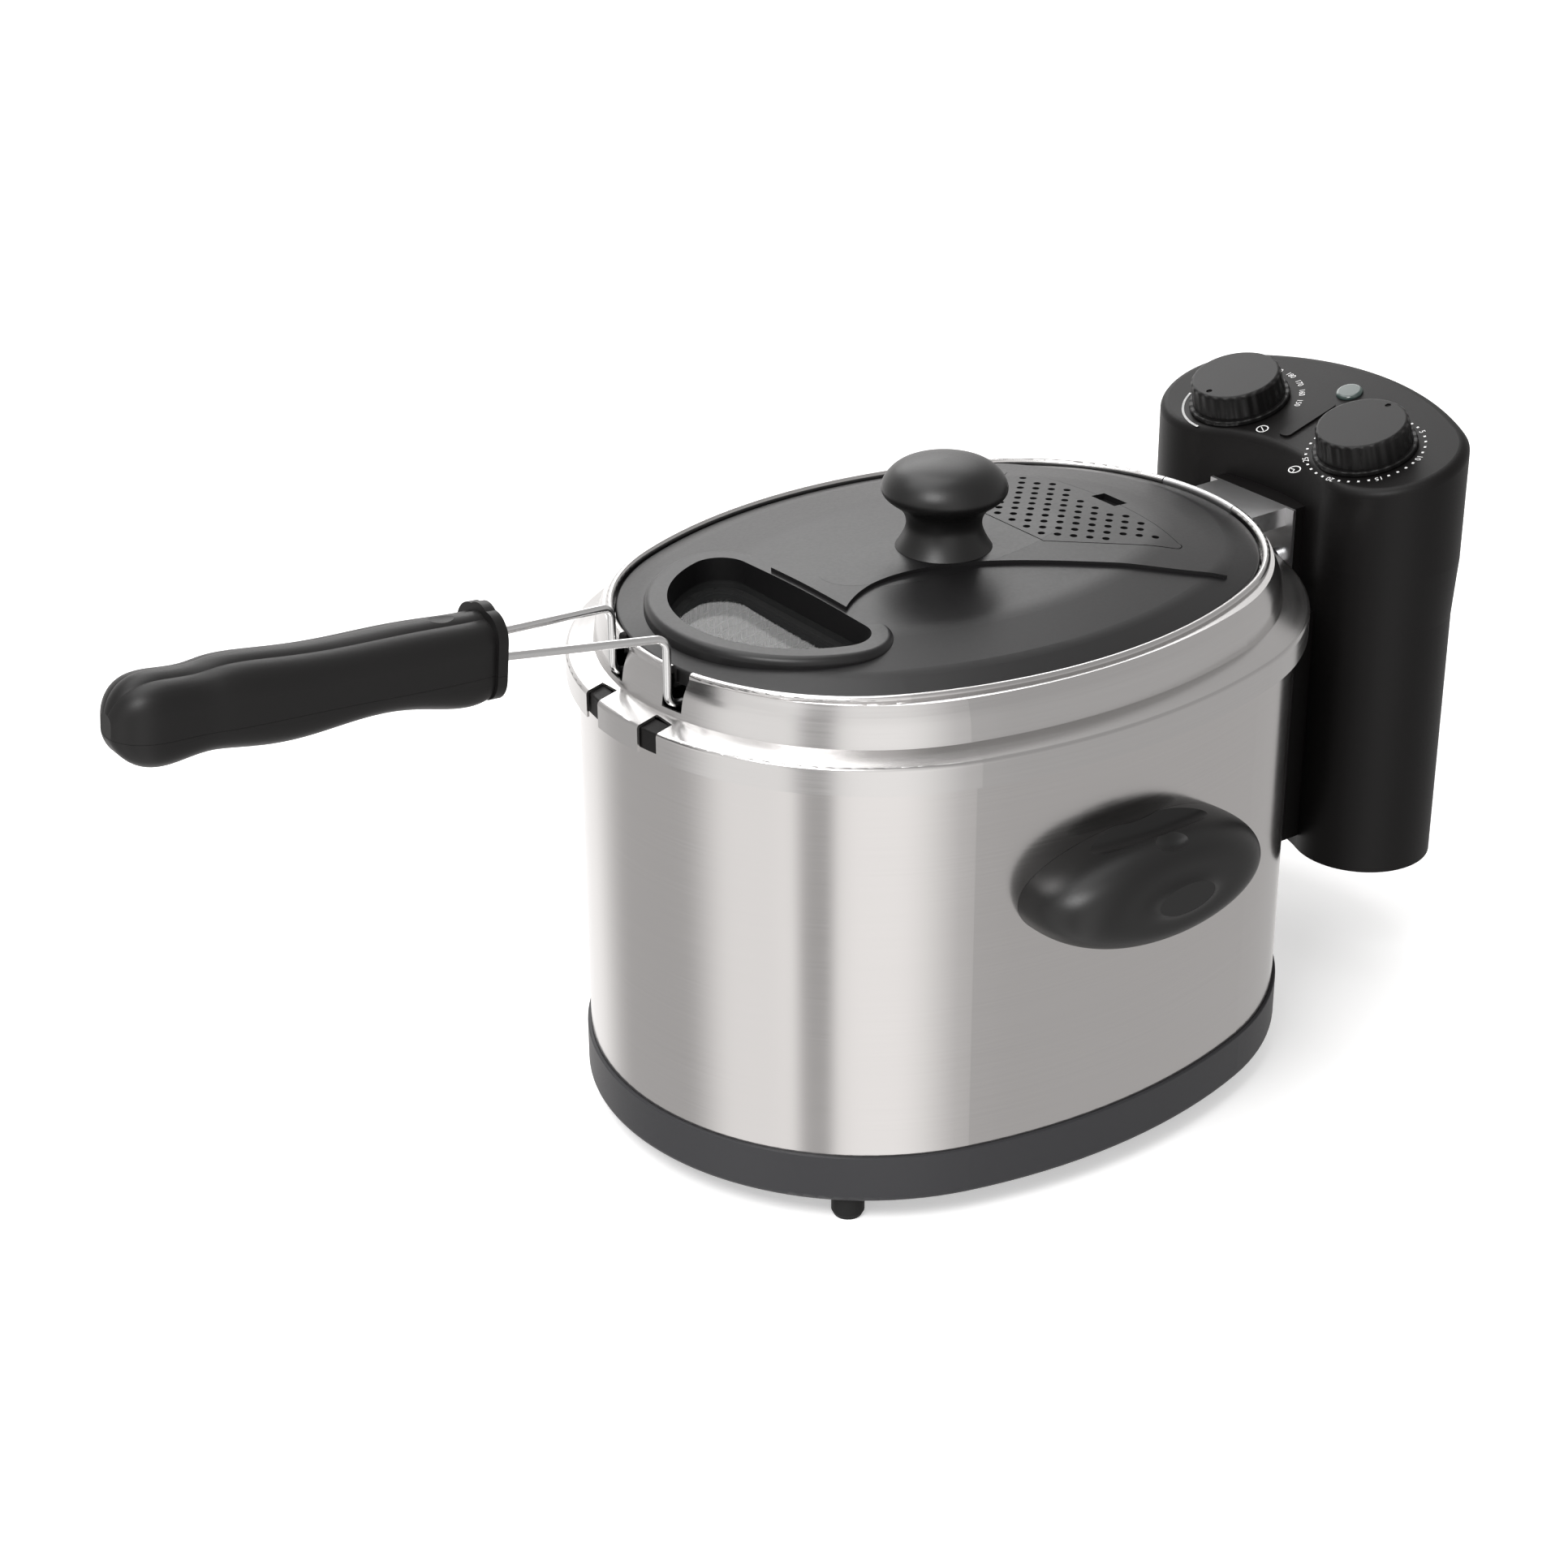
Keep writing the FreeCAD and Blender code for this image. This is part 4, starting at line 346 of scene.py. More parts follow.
@dataclass(frozen=True)
class Finish:
    """One finish of the fryer.

    Fields: its slot, colour, roughness, share of metal and grain; the grain's depth in metres and its
    spread of colour; how opaque it is, its clear coat, gloss and refraction; and how the fine grain and
    the broad patches share in its colour and roughness.
    """

    slot: str
    colour: Colour
    rough: float
    metal: float
    grain: Grain
    depth: float = 0.00002
    spread: float = 0.06
    alpha: float = 1.0
    coat: float = 0.0
    coat_rough: float = 0.12
    sheen: float = 0.5
    bend: float = 1.46
    fine_share: float = 0.6
    fine_rough: float = 0.12
    fine_detail: float = 4.0
    fine_relief: float = 0.5
    broad_share: float = 0.4
    broad_rough: float = 0.10
    broad_detail: float = 3.0
    broad_scale: Point = (9.0, 9.0, 9.0)

    def scale(self) -> Point:
        """Look up the grain's repeats.

        Returns:
            Repeats per metre along x, y and z.
        """
        return {
            Grain.ROUND_BRUSH: (14.0, 14.0, 2600.0),
            Grain.POLISH: (10.0, 10.0, 1500.0),
            Grain.MOULD: (1500.0, 1500.0, 1500.0),
            Grain.SATIN: (700.0, 700.0, 700.0),
            Grain.FELT: (900.0, 900.0, 300.0),
            Grain.CLEAR: (40.0, 40.0, 40.0),
        }[self.grain]

    def material(self) -> Any:
        """Build the finish's material.

        Returns:
            The Blender material.
        """
        tree = ShaderTree(self.slot)
        fine = tree.noise(self.scale(), self.fine_detail)
        broad = tree.noise(self.broad_scale, self.broad_detail)
        dark = tuple(c * (1.0 - self.spread) for c in self.colour)
        pale = tuple(min(1.0, c * (1.0 + self.spread)) for c in self.colour)
        patches = fine * self.fine_share + broad * self.broad_share
        tree.feed("Base Color", tree.tint(patches, dark, pale))
        tree.feed("Metallic", self.metal)
        wear = (fine - NOISE_MIDDLE) * self.fine_rough + (broad - NOISE_MIDDLE) * self.broad_rough
        tree.feed("Roughness", wear + self.rough)
        tree.feed("IOR", self.bend)
        tree.feed("Specular IOR Level", self.sheen)
        if self.coat > 0.0:
            tree.feed("Coat Weight", self.coat)
            tree.feed("Coat Roughness", self.coat_rough)
        if self.alpha < 1.0:
            tree.feed("Alpha", self.alpha)
        self.relief(tree, fine)
        return tree.material

    def relief(self, tree: ShaderTree, fine: Sock) -> None:
        """Raise the grain, unless the finish is clear.

        Args:
            tree: the material being built.
            fine: the grain's height.
        """
        if self.grain is not Grain.CLEAR:
            tree.bump(fine, self.fine_relief, self.depth)


@dataclass(frozen=True)
class FlutedFinish(Finish):
    """A dial's finish: upright flutes round its side and a plain face."""

    dial: Dial = Dial.THERMOSTAT
    flutes: float = 26.0
    flute_height: float = 0.5
    face_r: float = 0.0184
    side_r: float = 0.0192

    def relief(self, tree: ShaderTree, fine: Sock) -> None:
        """Raise the flutes in place of the grain.

        Args:
            tree: the material being built.
            fine: the grain's height; not used, as the flutes take its place.
        """
        centre = tuple(dial_matrix(self.dial).translation)
        place = tree.node("ShaderNodeVectorMath", {"operation": "SUBTRACT"}, {0: tree.place, 1: centre})
        turned = tree.node("ShaderNodeVectorRotate", {"rotation_type": "Y_AXIS"},
                           {"Vector": Sock(tree, place.outputs[0]), "Angle": math.radians(PANEL_SLOPE)})
        along, across, _ = tree.split(Sock(tree, turned.outputs[0]))
        angle = tree.node("ShaderNodeMath", {"operation": "ARCTAN2"}, {0: across, 1: along})
        phase = Sock(tree, angle.outputs[0]) * self.flutes
        wave = tree.node("ShaderNodeMath", {"operation": "SINE"}, {0: phase})
        radius = (along * along + across * across) ** 0.5
        height = radius.fade(self.face_r, self.side_r, 0.0, self.flute_height)
        tree.bump(Sock(tree, wave.outputs[0]) * height, 1.0, self.depth)


DIAL_BLACK: Colour = (0.0055, 0.0052, 0.0052)

FINISHES: Tuple[Finish, ...] = (
    Finish("brushed_steel", (0.62, 0.605, 0.598), rough=0.17, metal=1.0, grain=Grain.ROUND_BRUSH,
           depth=0.000012),
    Finish("polished_steel", (0.61, 0.60, 0.595), rough=0.19, metal=1.0, grain=Grain.POLISH,
           depth=0.000006),
    Finish("wire_steel", (0.74, 0.74, 0.74), rough=0.22, metal=1.0, grain=Grain.POLISH, depth=0.000004),
    Finish("element_steel", (0.40, 0.39, 0.38), rough=0.34, metal=1.0, grain=Grain.SATIN),
    Finish("zinc_steel", (0.62, 0.62, 0.63), rough=0.30, metal=1.0, grain=Grain.SATIN),
    Finish("base_grey", (0.031, 0.031, 0.034), rough=0.46, metal=0.0, grain=Grain.MOULD, sheen=0.35),
    # black_plastic stays darker and less glossy where it is left on the control head: painted shade, as the
    # head gets less light than the lugs and knob of the same plastic.
    Finish("black_plastic", (0.0045, 0.0040, 0.0040), rough=0.45, metal=0.0, grain=Grain.MOULD, sheen=0.22),
    Finish("pressed_steel", (0.66, 0.66, 0.665), rough=0.36, metal=1.0, grain=Grain.SATIN, depth=0.00001),
    # Lighter, glossier copy of black_plastic for the side handles and lid knob: painted highlight, not a
    # different plastic.
    Finish("black_plastic_lit_copy", (0.0060, 0.0058, 0.0058), rough=0.38, metal=0.0, grain=Grain.MOULD, sheen=0.50),
    # The grip's copy of black_plastic: its slight red tone is its own, while its lighter colour and higher
    # gloss are painted highlight.
    Finish("reddish_black_grip_lit_copy", (0.0060, 0.0056, 0.0056), rough=0.44, metal=0.0, grain=Grain.MOULD, sheen=0.36),
    FlutedFinish("heat_dial", DIAL_BLACK, rough=0.38, metal=0.0, grain=Grain.MOULD,
                 depth=0.00045, sheen=0.26, dial=Dial.THERMOSTAT),
    FlutedFinish("time_dial", DIAL_BLACK, rough=0.38, metal=0.0, grain=Grain.MOULD,
                 depth=0.00045, sheen=0.26, dial=Dial.TIMER),
    Finish("lid_black", (0.0066, 0.0064, 0.0068), rough=0.36, metal=0.0, grain=Grain.SATIN,
           depth=0.00001, sheen=0.42),
    Finish("black_rubber", (0.010, 0.010, 0.010), rough=0.70, metal=0.0, grain=Grain.MOULD, sheen=0.3),
    Finish("clear_pane", (0.030, 0.031, 0.031), rough=0.05, metal=0.0, grain=Grain.CLEAR,
           alpha=0.24, bend=2.0),
    Finish("cloth_wire", (0.86, 0.86, 0.86), rough=0.44, metal=1.0, grain=Grain.POLISH, depth=0.000004),
    Finish("lens_green", (0.038, 0.058, 0.053), rough=0.12, metal=0.0, grain=Grain.CLEAR, coat=0.5),
    Finish("lamp_glass", (0.85, 0.55, 0.40), rough=0.10, metal=0.0, grain=Grain.CLEAR, alpha=0.6),
    Finish("filter_felt", (0.16, 0.16, 0.17), rough=0.90, metal=0.0, grain=Grain.FELT,
           depth=0.0004, spread=0.25),
    Finish("pale_insulator", (0.68, 0.66, 0.60), rough=0.50, metal=0.0, grain=Grain.MOULD),
    Finish("mark_white", (0.78, 0.78, 0.78), rough=0.55, metal=0.0, grain=Grain.MOULD, depth=0.000005),
)

# Nodes whose finish differs a little from that of their slot. The lugs, knob and grip take lighter,
# glossier copies of the black plastic: painted highlight, as more light falls on them than on the head;
# only the grip's slight red tone is its own.
OWN_FINISH: Dict[str, str] = {
    "element_bracket": "pressed_steel",
    "side_handle_near": "black_plastic_lit_copy",
    "side_handle_far": "black_plastic_lit_copy",
    "lid_knob": "black_plastic_lit_copy",
    "grip_upper": "reddish_black_grip_lit_copy",
    "grip_lower": "reddish_black_grip_lit_copy",
    "thermostat_knob": "heat_dial",
    "timer_knob": "time_dial",
}


class Workshop:
    """Shared helpers: materials by slot and conversion of node trees to meshes."""

    def __init__(self, frame: Dict[str, Any]) -> None:
        """Make every finish once."""
        self.frame = frame
        self.finishes = {f.slot: f.material() for f in FINISHES}

    def dress_nodes(self) -> None:
        """Give every CAD node its own finish, or the one that its record names."""
        for entry in self.frame["record"]["subparts"]:
            node = self.frame["nodes"][entry["node"]]
            node.data.materials.clear()
            finish = OWN_FINISH.get(entry["node"], entry["material_slot"])
            node.data.materials.append(self.finishes[finish])
            LOG.info("dressed %s", entry["node"])

    def mesh_object(self, name: str, verts: Sequence[Point], edges: Sequence[Tuple[int, int]],
                    faces: Sequence[Sequence[int]]) -> Any:
        """Make an object from points.

        Args:
            name: the piece's name.
            verts: points in metres.
            edges: pairs of point numbers.
            faces: rings of point numbers.

        Returns:
            The object, linked to the scene.
        """
        mesh = bpy.data.meshes.new(name)
        mesh.from_pydata([tuple(v) for v in verts], list(edges), list(faces))
        made = bpy.data.objects.new(name, mesh)
        bpy.context.scene.collection.objects.link(made)
        return made

    def run_nodes(self, piece: Any, group: Any, values: Dict[str, Any]) -> None:
        """Run a node group on a piece and keep the result as its mesh.

        Args:
            piece: the object.
            group: the geometry node group.
            values: input values by name.
        """
        modifier = piece.modifiers.new("build", "NODES")
        modifier.node_group = group
        for item in group.interface.items_tree:
            if item.item_type == "SOCKET" and item.in_out == "INPUT" and item.name in values:
                modifier[item.identifier] = values[item.name]
        graph = bpy.context.evaluated_depsgraph_get()
        result = bpy.data.meshes.new_from_object(piece.evaluated_get(graph))
        piece.modifiers.clear()
        old = piece.data
        piece.data = result
        bpy.data.meshes.remove(old)

    def settle(self, piece: Any, body: str, matrix: Matrix = Matrix.Identity(4)) -> None:
        """Put a piece in place and let it ride.

        Args:
            piece: the object.
            body: the CAD body that carries it.
            matrix: its place.
        """
        piece.data.transform(matrix)
        piece.data.update()
        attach(piece, body)
        LOG.info("placed %s on %s", piece.name, body)


class NodeGroup:
    """A geometry node group with named inputs."""

    def __init__(self, name: str, inputs: Dict[str, str]) -> None:
        """Make the group with its geometry and number sockets.

        Args:
            name: the group's name.
            inputs: socket types by input name.
        """
        self.group = bpy.data.node_groups.new(name, "GeometryNodeTree")
        face = self.group.interface
        face.new_socket("Geometry", in_out="INPUT", socket_type="NodeSocketGeometry")
        for key, kind in inputs.items():
            face.new_socket(key, in_out="INPUT", socket_type=kind)
        face.new_socket("Geometry", in_out="OUTPUT", socket_type="NodeSocketGeometry")
        self.entry = self.group.nodes.new("NodeGroupInput")
        self.exit = self.group.nodes.new("NodeGroupOutput")

    def add(self, kind: str, settings: Dict[str, Any], links: Dict[Any, Any]) -> Any:
        """Add a node and link or set its inputs.

        Args:
            kind: Blender's node type.
            settings: attributes set first.
            links: sockets or values by input.

        Returns:
            The node.
        """
        made = self.group.nodes.new(kind)
        for key, value in settings.items():
            setattr(made, key, value)
        for key, value in links.items():
            if isinstance(value, bpy.types.NodeSocket):
                self.group.links.new(value, made.inputs[key])
            else:
                made.inputs[key].default_value = value
        return made

    def finish(self, geometry: Any, material: Any) -> Any:
        """Realize, set the material and close the group.

        Args:
            geometry: the last geometry socket.
            material: the finish.

        Returns:
            The node group.
        """
        real = self.add("GeometryNodeRealizeInstances", {}, {0: geometry})
        paint = self.add("GeometryNodeSetMaterial", {}, {"Geometry": real.outputs[0], "Material": material})
        self.group.links.new(paint.outputs[0], self.exit.inputs[0])
        return self.group


@dataclass(frozen=True)
class Oval:
    """The basket's outline, made of two end arcs and two side arcs."""

    half_length: float
    half_width: float
    end_r: float
    halvings: int = 40

    def side(self) -> Tuple[float, float]:
        """Work out the side arcs.

        Returns:
            Their radius and how far past the axis they are centred.
        """
        reach = self.half_length - self.end_r
        spread = reach ** 2 + self.half_width ** 2 - self.end_r ** 2
        radius = spread / (2.0 * (self.half_width - self.end_r))
        return radius, radius - self.half_width

    def width_at(self, x: float, inset: float) -> float:
        """Half width of the inset outline at a place along it.

        Args:
            x: place along the long axis.
            inset: how far inside the outline.

        Returns:
            The half width.
        """
        radius, past = self.side()
        reach = self.half_length - self.end_r
        turn = math.atan2(past, reach)
        meet = reach + (self.end_r - inset) * math.cos(turn)
        if abs(x) <= meet:
            return math.sqrt(max(0.0, (radius - inset) ** 2 - x * x)) - past
        return math.sqrt(max(0.0, (self.end_r - inset) ** 2 - (abs(x) - reach) ** 2))

    def length_at(self, y: float, inset: float) -> float:
        """Half length of the inset outline at a place across it, by halving.

        Args:
            y: place along the short axis.
            inset: how far inside the outline.

        Returns:
            The half length.
        """
        low = 0.0
        high = self.half_length - inset
        for _ in range(self.halvings):
            middle = (low + high) / 2.0
            if self.width_at(middle, inset) > abs(y):
                low = middle
            else:
                high = middle
        return low

    def loop(self, inset: float, count: int) -> List[Tuple[float, float]]:
        """Points round the inset outline.

        Args:
            inset: how far inside the outline.
            count: how many points.

        Returns:
            Points in order.
        """
        points = []
        for k in range(count):
            turn = 2.0 * math.pi * k / count
            x = (self.half_length - inset) * math.cos(turn)
            y = math.copysign(self.width_at(x, inset), math.sin(turn))
            points.append((x, y))
        return points


@dataclass
class WovenBasket:
    """The wire cloth of the basket, in metres from the pot's middle."""

    outline: Oval = Oval(half_length=0.136, half_width=0.1007, end_r=0.091)
    inset: float = 0.0222
    floor_z: float = 0.0806
    top_z: float = 0.1995
    corner: float = 0.0115
    pitch: float = 0.0042
    wire: float = 0.00048
    wire_sides: int = 5
    ring_points: int = 120
    least_run: float = 3.0
    tightest: float = 0.3
    corner_turns: Tuple[float, ...] = (0.0, 30.0, 60.0, 90.0)

    def bend_point(self, foot: Vector, inward: Vector, bend: float, turn: float) -> Point:
        """One point of the bend between the wall and the floor.

        Args:
            foot: where the wall would meet the floor.
            inward: direction across the floor.
            bend: the bend's radius.
            turn: how far round the bend, in degrees.

        Returns:
            The point.
        """
        angle = math.radians(turn)
        at = foot + inward * bend * (1.0 - math.cos(angle))
        return at.x, at.y, self.floor_z + bend * (1.0 - math.sin(angle))

    def hoop(self, low: Point, high: Point) -> List[Point]:
        """One wire from rim to rim across the floor.

        Args:
            low: one end of its floor run.
            high: the other end.

        Returns:
            Points along the wire.
        """
        first = Vector(low)
        last = Vector(high)
        along = (last - first).normalized()
        bend = min(self.corner, (last - first).length * self.tightest)
        points: List[Point] = [(first.x, first.y, self.top_z)]
        for turn in self.corner_turns:
            points.append(self.bend_point(first, along, bend, turn))
        for turn in reversed(self.corner_turns):
            points.append(self.bend_point(last, -along, bend, turn))
        points.append((last.x, last.y, self.top_z))
        return points

    def wires(self) -> List[List[Point]]:
        """Lay out the cloth, leaving out runs shorter than a few pitches.

        Returns:
            Every wire as a run of points.
        """
        runs: List[List[Point]] = []
        reach = self.outline.half_length - self.inset
        count = int(reach / self.pitch)
        for k in range(-count, count + 1):
            x = k * self.pitch
            y = self.outline.width_at(x, self.inset)
            if y > self.least_run * self.pitch:
                runs.append(self.hoop((x, -y, 0.0), (x, y, 0.0)))
        breadth = self.outline.half_width - self.inset
        count = int(breadth / self.pitch)
        for k in range(-count, count + 1):
            y = k * self.pitch
            x = self.outline.length_at(y, self.inset)
            if x > self.least_run * self.pitch:
                runs.append(self.hoop((-x, y, 0.0), (x, y, 0.0)))
        levels = int((self.top_z - self.floor_z - self.corner) / self.pitch)
        ring = self.outline.loop(self.inset, self.ring_points)
        for k in range(levels):
            z = self.floor_z + self.corner + k * self.pitch
            run = [(x, y, z) for x, y in ring]
            runs.append(run + [run[0]])
        return runs

    def build(self, shop: Workshop) -> None:
        """Make the wire cloth and let it stand for the CAD cup.

        Args:
            shop: helpers.
        """
        verts: List[Point] = []
        edges: List[Tuple[int, int]] = []
        for run in self.wires():
            base = len(verts)
            verts.extend((x + POT_X, y, z) for x, y, z in run)
            edges.extend((base + i, base + i + 1) for i in range(len(run) - 1))
        piece = shop.mesh_object("basket_cloth", verts, edges, [])
        nodes = NodeGroup("wire_cloth", {"Wire radius": "NodeSocketFloat"})
        path = nodes.add("GeometryNodeMeshToCurve", {}, {0: nodes.entry.outputs[0]})
        section = nodes.add("GeometryNodeCurvePrimitiveCircle", {},
                            {"Resolution": self.wire_sides, "Radius": nodes.entry.outputs[1]})
        tube = nodes.add("GeometryNodeCurveToMesh", {},
                         {"Curve": path.outputs[0], "Profile Curve": section.outputs[0], "Fill Caps": True})
        group = nodes.finish(tube.outputs[0], shop.finishes["cloth_wire"])
        shop.run_nodes(piece, group, {"Wire radius": self.wire})
        shop.settle(piece, "basket")
        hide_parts("basket_mesh")


@dataclass(frozen=True)
class Arc:
    """A stretch of a ring round a dial, in degrees from the panel's uphill side."""

    dial: Dial
    start: float
    sweep: float
    ring: float


@dataclass
class PanelMarks:
    """The marks printed on the sloped panel round its dials, in metres and degrees."""

    lift: float = 0.00012
    ink: float = 0.0001
    dot: float = 0.0010
    figure_size: float = 0.0036
    arc_steps: int = 96
    minutes: Arc = Arc(Dial.TIMER, 22.0, -290.0, DOT_RING)
    minute_figures: Tuple[str, ...] = ("0", "5", "10", "15", "20", "25", "30")
    minute_dots: int = 31
    dots_per_figure: int = 5
    warm_up: Arc = Arc(Dial.THERMOSTAT, 108.0, 70.0, DOT_RING)
    warm_up_dots: int = 64
    heat: Arc = Arc(Dial.THERMOSTAT, 8.0, -72.0, 0.0266)
    heat_figures: Tuple[str, ...] = ("190", "180", "170", "160", "150")
    clock_place: Arc = Arc(Dial.TIMER, 152.0, 0.0, 0.0305)
    clock_hands: Tuple[float, ...] = (100.0, 200.0)
    heat_place: Arc = Arc(Dial.THERMOSTAT, 246.0, 0.0, 0.0280)
    heat_bar: Tuple[float, ...] = (60.0, 240.0)
    sign_inner: float = 0.0022
    sign_outer: float = 0.0027
    sign_steps: int = 32
    stroke: float = 0.0018
    stroke_half: float = 0.0002

    def ticks(self, shop: Workshop, name: str, arc: Arc, count: int, skip: int = 0) -> None:
        """Print an arc of square dots round a dial.

        Args:
            shop: helpers.
            name: the piece's name.
            arc: where they run.
            count: how many dots.
            skip: every how many dots a figure takes the place, or 0 for none.
        """
        piece = shop.mesh_object(name, [(0.0, 0.0, 0.0)], [], [])
        nodes = NodeGroup(name, {"Radius": "NodeSocketFloat", "Count": "NodeSocketInt",
                                 "Start": "NodeSocketFloat", "Sweep": "NodeSocketFloat"})
        entry = nodes.entry.outputs
        line = nodes.add("GeometryNodeCurveArc", {"mode": "RADIUS"},
                         {"Resolution": self.arc_steps, "Radius": entry["Radius"],
                          "Start Angle": entry["Start"], "Sweep Angle": entry["Sweep"]})
        points = nodes.add("GeometryNodeCurveToPoints", {"mode": "COUNT"},
                           {"Curve": line.outputs[0], "Count": entry["Count"]})
        mark = nodes.add("GeometryNodeMeshCube", {}, {"Size": (self.dot, self.ink, self.dot)})
        copies = nodes.add("GeometryNodeInstanceOnPoints", {},
                           {"Points": points.outputs[0], "Instance": mark.outputs[0],
                            "Rotation": points.outputs["Rotation"]})
        if skip:
            number = nodes.add("GeometryNodeInputIndex", {}, {})
            rest = nodes.add("ShaderNodeMath", {"operation": "MODULO"},
                             {0: number.outputs[0], 1: float(skip)})
            nodes.group.links.new(rest.outputs[0], copies.inputs["Selection"])
        group = nodes.finish(copies.outputs[0], shop.finishes["mark_white"])
        shop.run_nodes(piece, group, {"Radius": arc.ring, "Count": count, "Start": math.radians(arc.start),
                                      "Sweep": math.radians(arc.sweep)})
        shop.settle(piece, "control_head", dial_matrix(arc.dial, self.lift))

    def figures(self, shop: Workshop, name: str, arc: Arc, texts: Sequence[str]) -> None:
        """Print plain figures round a dial.

        Args:
            shop: helpers.
            name: the piece's name.
            arc: where they run.
            texts: the figures in order.
        """
        sheet = bmesh.new()
        for k, text in enumerate(texts):
            curve = bpy.data.curves.new(name, "FONT")
            curve.body = text
            curve.size = self.figure_size
            curve.align_x = "CENTER"
            curve.align_y = "CENTER"
            holder = bpy.data.objects.new(name, curve)
            bpy.context.scene.collection.objects.link(holder)
            graph = bpy.context.evaluated_depsgraph_get()
            flat = bpy.data.meshes.new_from_object(holder.evaluated_get(graph))
            turn = math.radians(arc.start + arc.sweep * k / (len(texts) - 1))
            outward = Matrix.Rotation(turn - math.pi / 2.0, 4, "Z")
            flat.transform(outward @ Matrix.Translation((0.0, arc.ring, 0.0)))
            sheet.from_mesh(flat)
            bpy.data.objects.remove(holder)
            bpy.data.meshes.remove(flat)
        mesh = bpy.data.meshes.new(name)
        sheet.to_mesh(mesh)
        sheet.free()
        piece = bpy.data.objects.new(name, mesh)
        bpy.context.scene.collection.objects.link(piece)
        piece.data.materials.append(shop.finishes["mark_white"])
        shop.settle(piece, "control_head", dial_matrix(arc.dial, self.lift))

    def sign(self, shop: Workshop, name: str, place: Arc, strokes: Sequence[float]) -> None:
        """Print a small round sign with strokes from its middle.

        Args:
            shop: helpers.
            name: the piece's name.
            place: where it stands, at the arc's start.
            strokes: directions of the strokes in degrees.
        """
        verts: List[Point] = []
        faces: List[Tuple[int, ...]] = []
        middle = self.spoke(place.start) * place.ring
        count = self.sign_steps
        for k in range(count):
            way = self.spoke(360.0 * k / count)
            verts.append(tuple(middle + way * self.sign_inner))
            verts.append(tuple(middle + way * self.sign_outer))
            after = 2 * ((k + 1) % count)
            faces.append((2 * k, 2 * k + 1, after + 1, after))
        for angle in strokes:
            reach = self.spoke(angle) * self.stroke
            side = self.spoke(angle + 90.0) * self.stroke_half
            base = len(verts)
            for corner in (middle - side, middle - side + reach, middle + side + reach, middle + side):
                verts.append(tuple(corner))
            faces.append((base, base + 1, base + 2, base + 3))
        piece = shop.mesh_object(name, verts, [], faces)
        piece.data.materials.append(shop.finishes["mark_white"])
        shop.settle(piece, "control_head", dial_matrix(place.dial, self.lift))

    def spoke(self, angle: float) -> Vector:
        """Unit vector on the panel at an angle in degrees."""
        return Vector((math.cos(math.radians(angle)), math.sin(math.radians(angle)), 0.0))

    def build(self, shop: Workshop) -> None:
        """Print both dials' marks.

        Args:
            shop: helpers.
        """
        self.ticks(shop, "timer_dots", self.minutes, self.minute_dots, self.dots_per_figure)
        self.figures(shop, "timer_figures", self.minutes, self.minute_figures)
        self.sign(shop, "timer_sign", self.clock_place, self.clock_hands)
        self.ticks(shop, "heat_arc", self.warm_up, self.warm_up_dots)
        self.figures(shop, "heat_figures", self.heat, self.heat_figures)
        self.sign(shop, "heat_sign", self.heat_place, self.heat_bar)


@dataclass(frozen=True)
class Softbox:
    """One soft light: where it hangs, its width and height in metres, and its watts."""

    name: str
    place: Point
    size: Tuple[float, float]
    power: float

    def hang(self, aim: Point) -> None:
        """Hang the light so that it looks at a point.

        Args:
            aim: the point.
        """
        data = bpy.data.lights.new(self.name, "AREA")
        data.shape = "RECTANGLE"
        data.size = self.size[0]
        data.size_y = self.size[1]
        data.energy = self.power
        made = bpy.data.objects.new(self.name, data)
        made.location = self.place
        made.rotation_euler = (Vector(aim) - Vector(self.place)).to_track_quat("-Z", "Y").to_euler()
        bpy.context.scene.collection.objects.link(made)


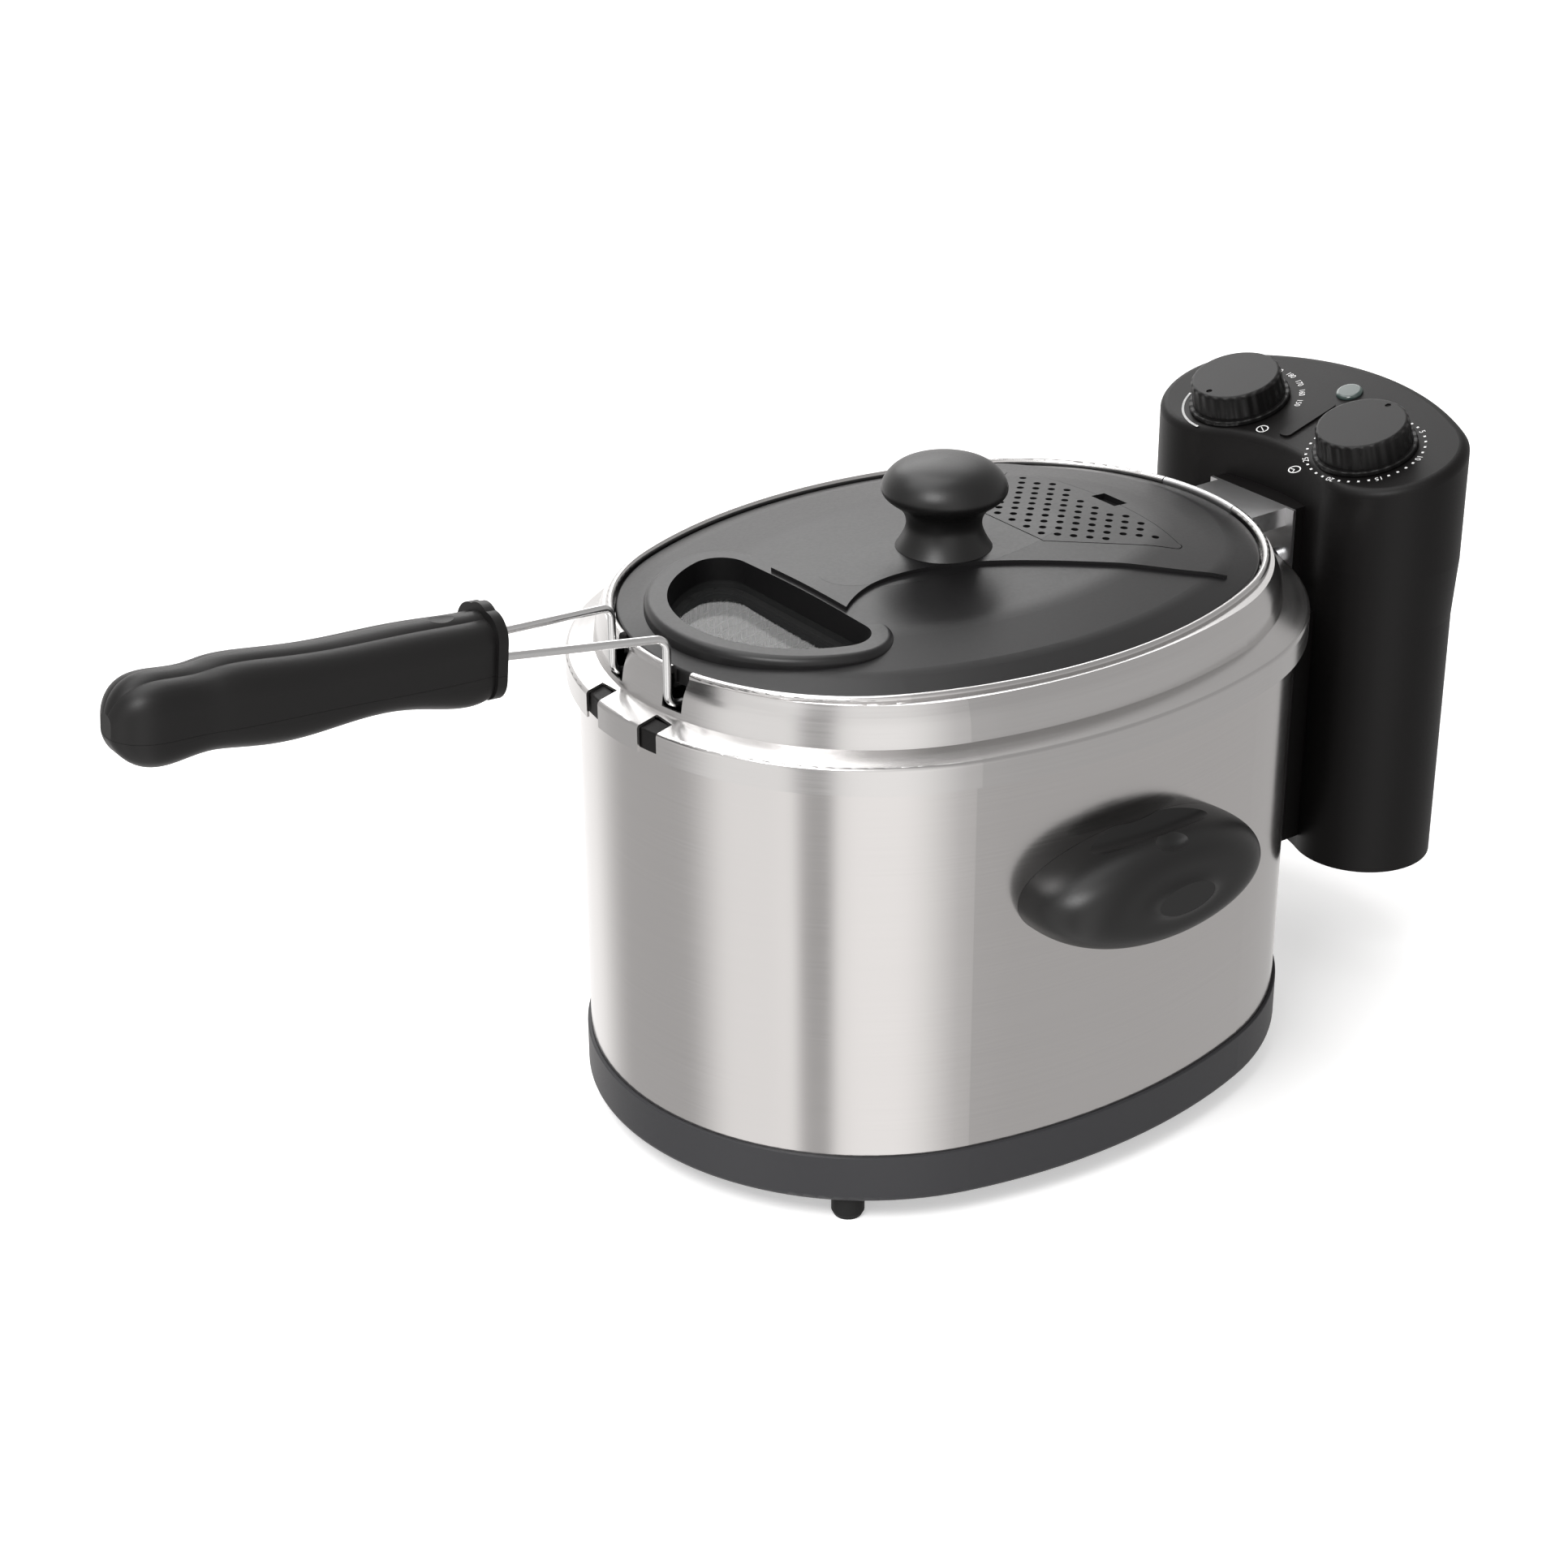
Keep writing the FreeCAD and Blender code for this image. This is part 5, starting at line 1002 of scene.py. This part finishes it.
@dataclass
class Studio:
    """Pale floor, soft light and the camera, in metres."""

    eye: Point = (-0.66997, -0.89170, 0.69530)
    target: Point = (-0.02197, -0.00072, 0.14546)
    lens: float = 72.6575
    sensor: float = 36.0
    roll: float = -0.348
    view_end: float = 50.0
    floor_half: float = 6.0
    floor_pale: Colour = (0.88, 0.88, 0.88)
    floor_dull: Colour = (0.86, 0.86, 0.86)
    floor_rough: float = 0.9
    floor_glow: float = 0.42
    floor_patches: Point = (30.0, 30.0, 30.0)
    floor_detail: float = 2.0
    aim: Point = (0.05, 0.0, 0.12)
    lights: Tuple[Softbox, ...] = (
        Softbox("key", (-1.2, -0.6, 1.7), (0.8, 0.8), 24.0),
        Softbox("top", (-0.2, 0.7, 2.1), (1.8, 1.4), 22.0),
        Softbox("back", (0.9, 1.7, 1.3), (1.4, 0.7), 9.0),
    )

    def camera(self) -> None:
        """Stand the camera where the photograph was taken from."""
        forward = (Vector(self.target) - Vector(self.eye)).normalized()
        right = forward.cross(Vector((0.0, 0.0, 1.0))).normalized()
        up = right.cross(forward)
        turn = math.radians(self.roll)
        across = right * math.cos(turn) + up * math.sin(turn)
        above = up * math.cos(turn) - right * math.sin(turn)
        data = bpy.data.cameras.new("camera")
        data.sensor_fit = "HORIZONTAL"
        data.sensor_width = self.sensor
        data.lens = self.lens
        data.clip_end = self.view_end
        made = bpy.data.objects.new("camera", data)
        basis = Matrix((across, above, -forward)).transposed().to_4x4()
        made.matrix_world = Matrix.Translation(self.eye) @ basis
        bpy.context.scene.collection.objects.link(made)
        bpy.context.scene.camera = made

    def world(self) -> None:
        """Hang the light tent."""
        bpy.context.scene.world = LightTent("studio").world

    def floor(self, shop: Workshop) -> None:
        """Lay the pale floor.

        Args:
            shop: helpers.
        """
        half = self.floor_half
        corners = [(-half, -half, 0.0), (half, -half, 0.0), (half, half, 0.0), (-half, half, 0.0)]
        piece = shop.mesh_object("floor", corners, [], [(0, 1, 2, 3)])
        tree = ShaderTree("floor_paper")
        patches = tree.noise(self.floor_patches, self.floor_detail)
        tree.feed("Base Color", tree.tint(patches, self.floor_dull, self.floor_pale))
        tree.feed("Roughness", self.floor_rough)
        tree.feed("Emission Color", (1.0, 1.0, 1.0, 1.0))
        tree.feed("Emission Strength", self.floor_glow)
        piece.data.materials.append(tree.material)
        piece.visible_glossy = False
        piece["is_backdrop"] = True

    def build(self, shop: Workshop) -> None:
        """Set the whole studio.

        Args:
            shop: helpers.
        """
        self.camera()
        self.world()
        self.floor(shop)
        for light in self.lights:
            light.hang(self.aim)
        bpy.context.scene.view_settings.view_transform = "Standard"


def main() -> Tuple[Any, Any]:
    """Build every piece in order.

    Returns:
        The CAD box and the dressed part's box.
    """
    logging.basicConfig(level=logging.INFO, format="%(name)s %(message)s")
    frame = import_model()
    cad_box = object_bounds()
    shop = Workshop(frame)
    shop.dress_nodes()
    WovenBasket().build(shop)
    PanelMarks().build(shop)
    Studio().build(shop)
    return cad_box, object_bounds()


if __name__ == "__main__":
    BOXES = main()
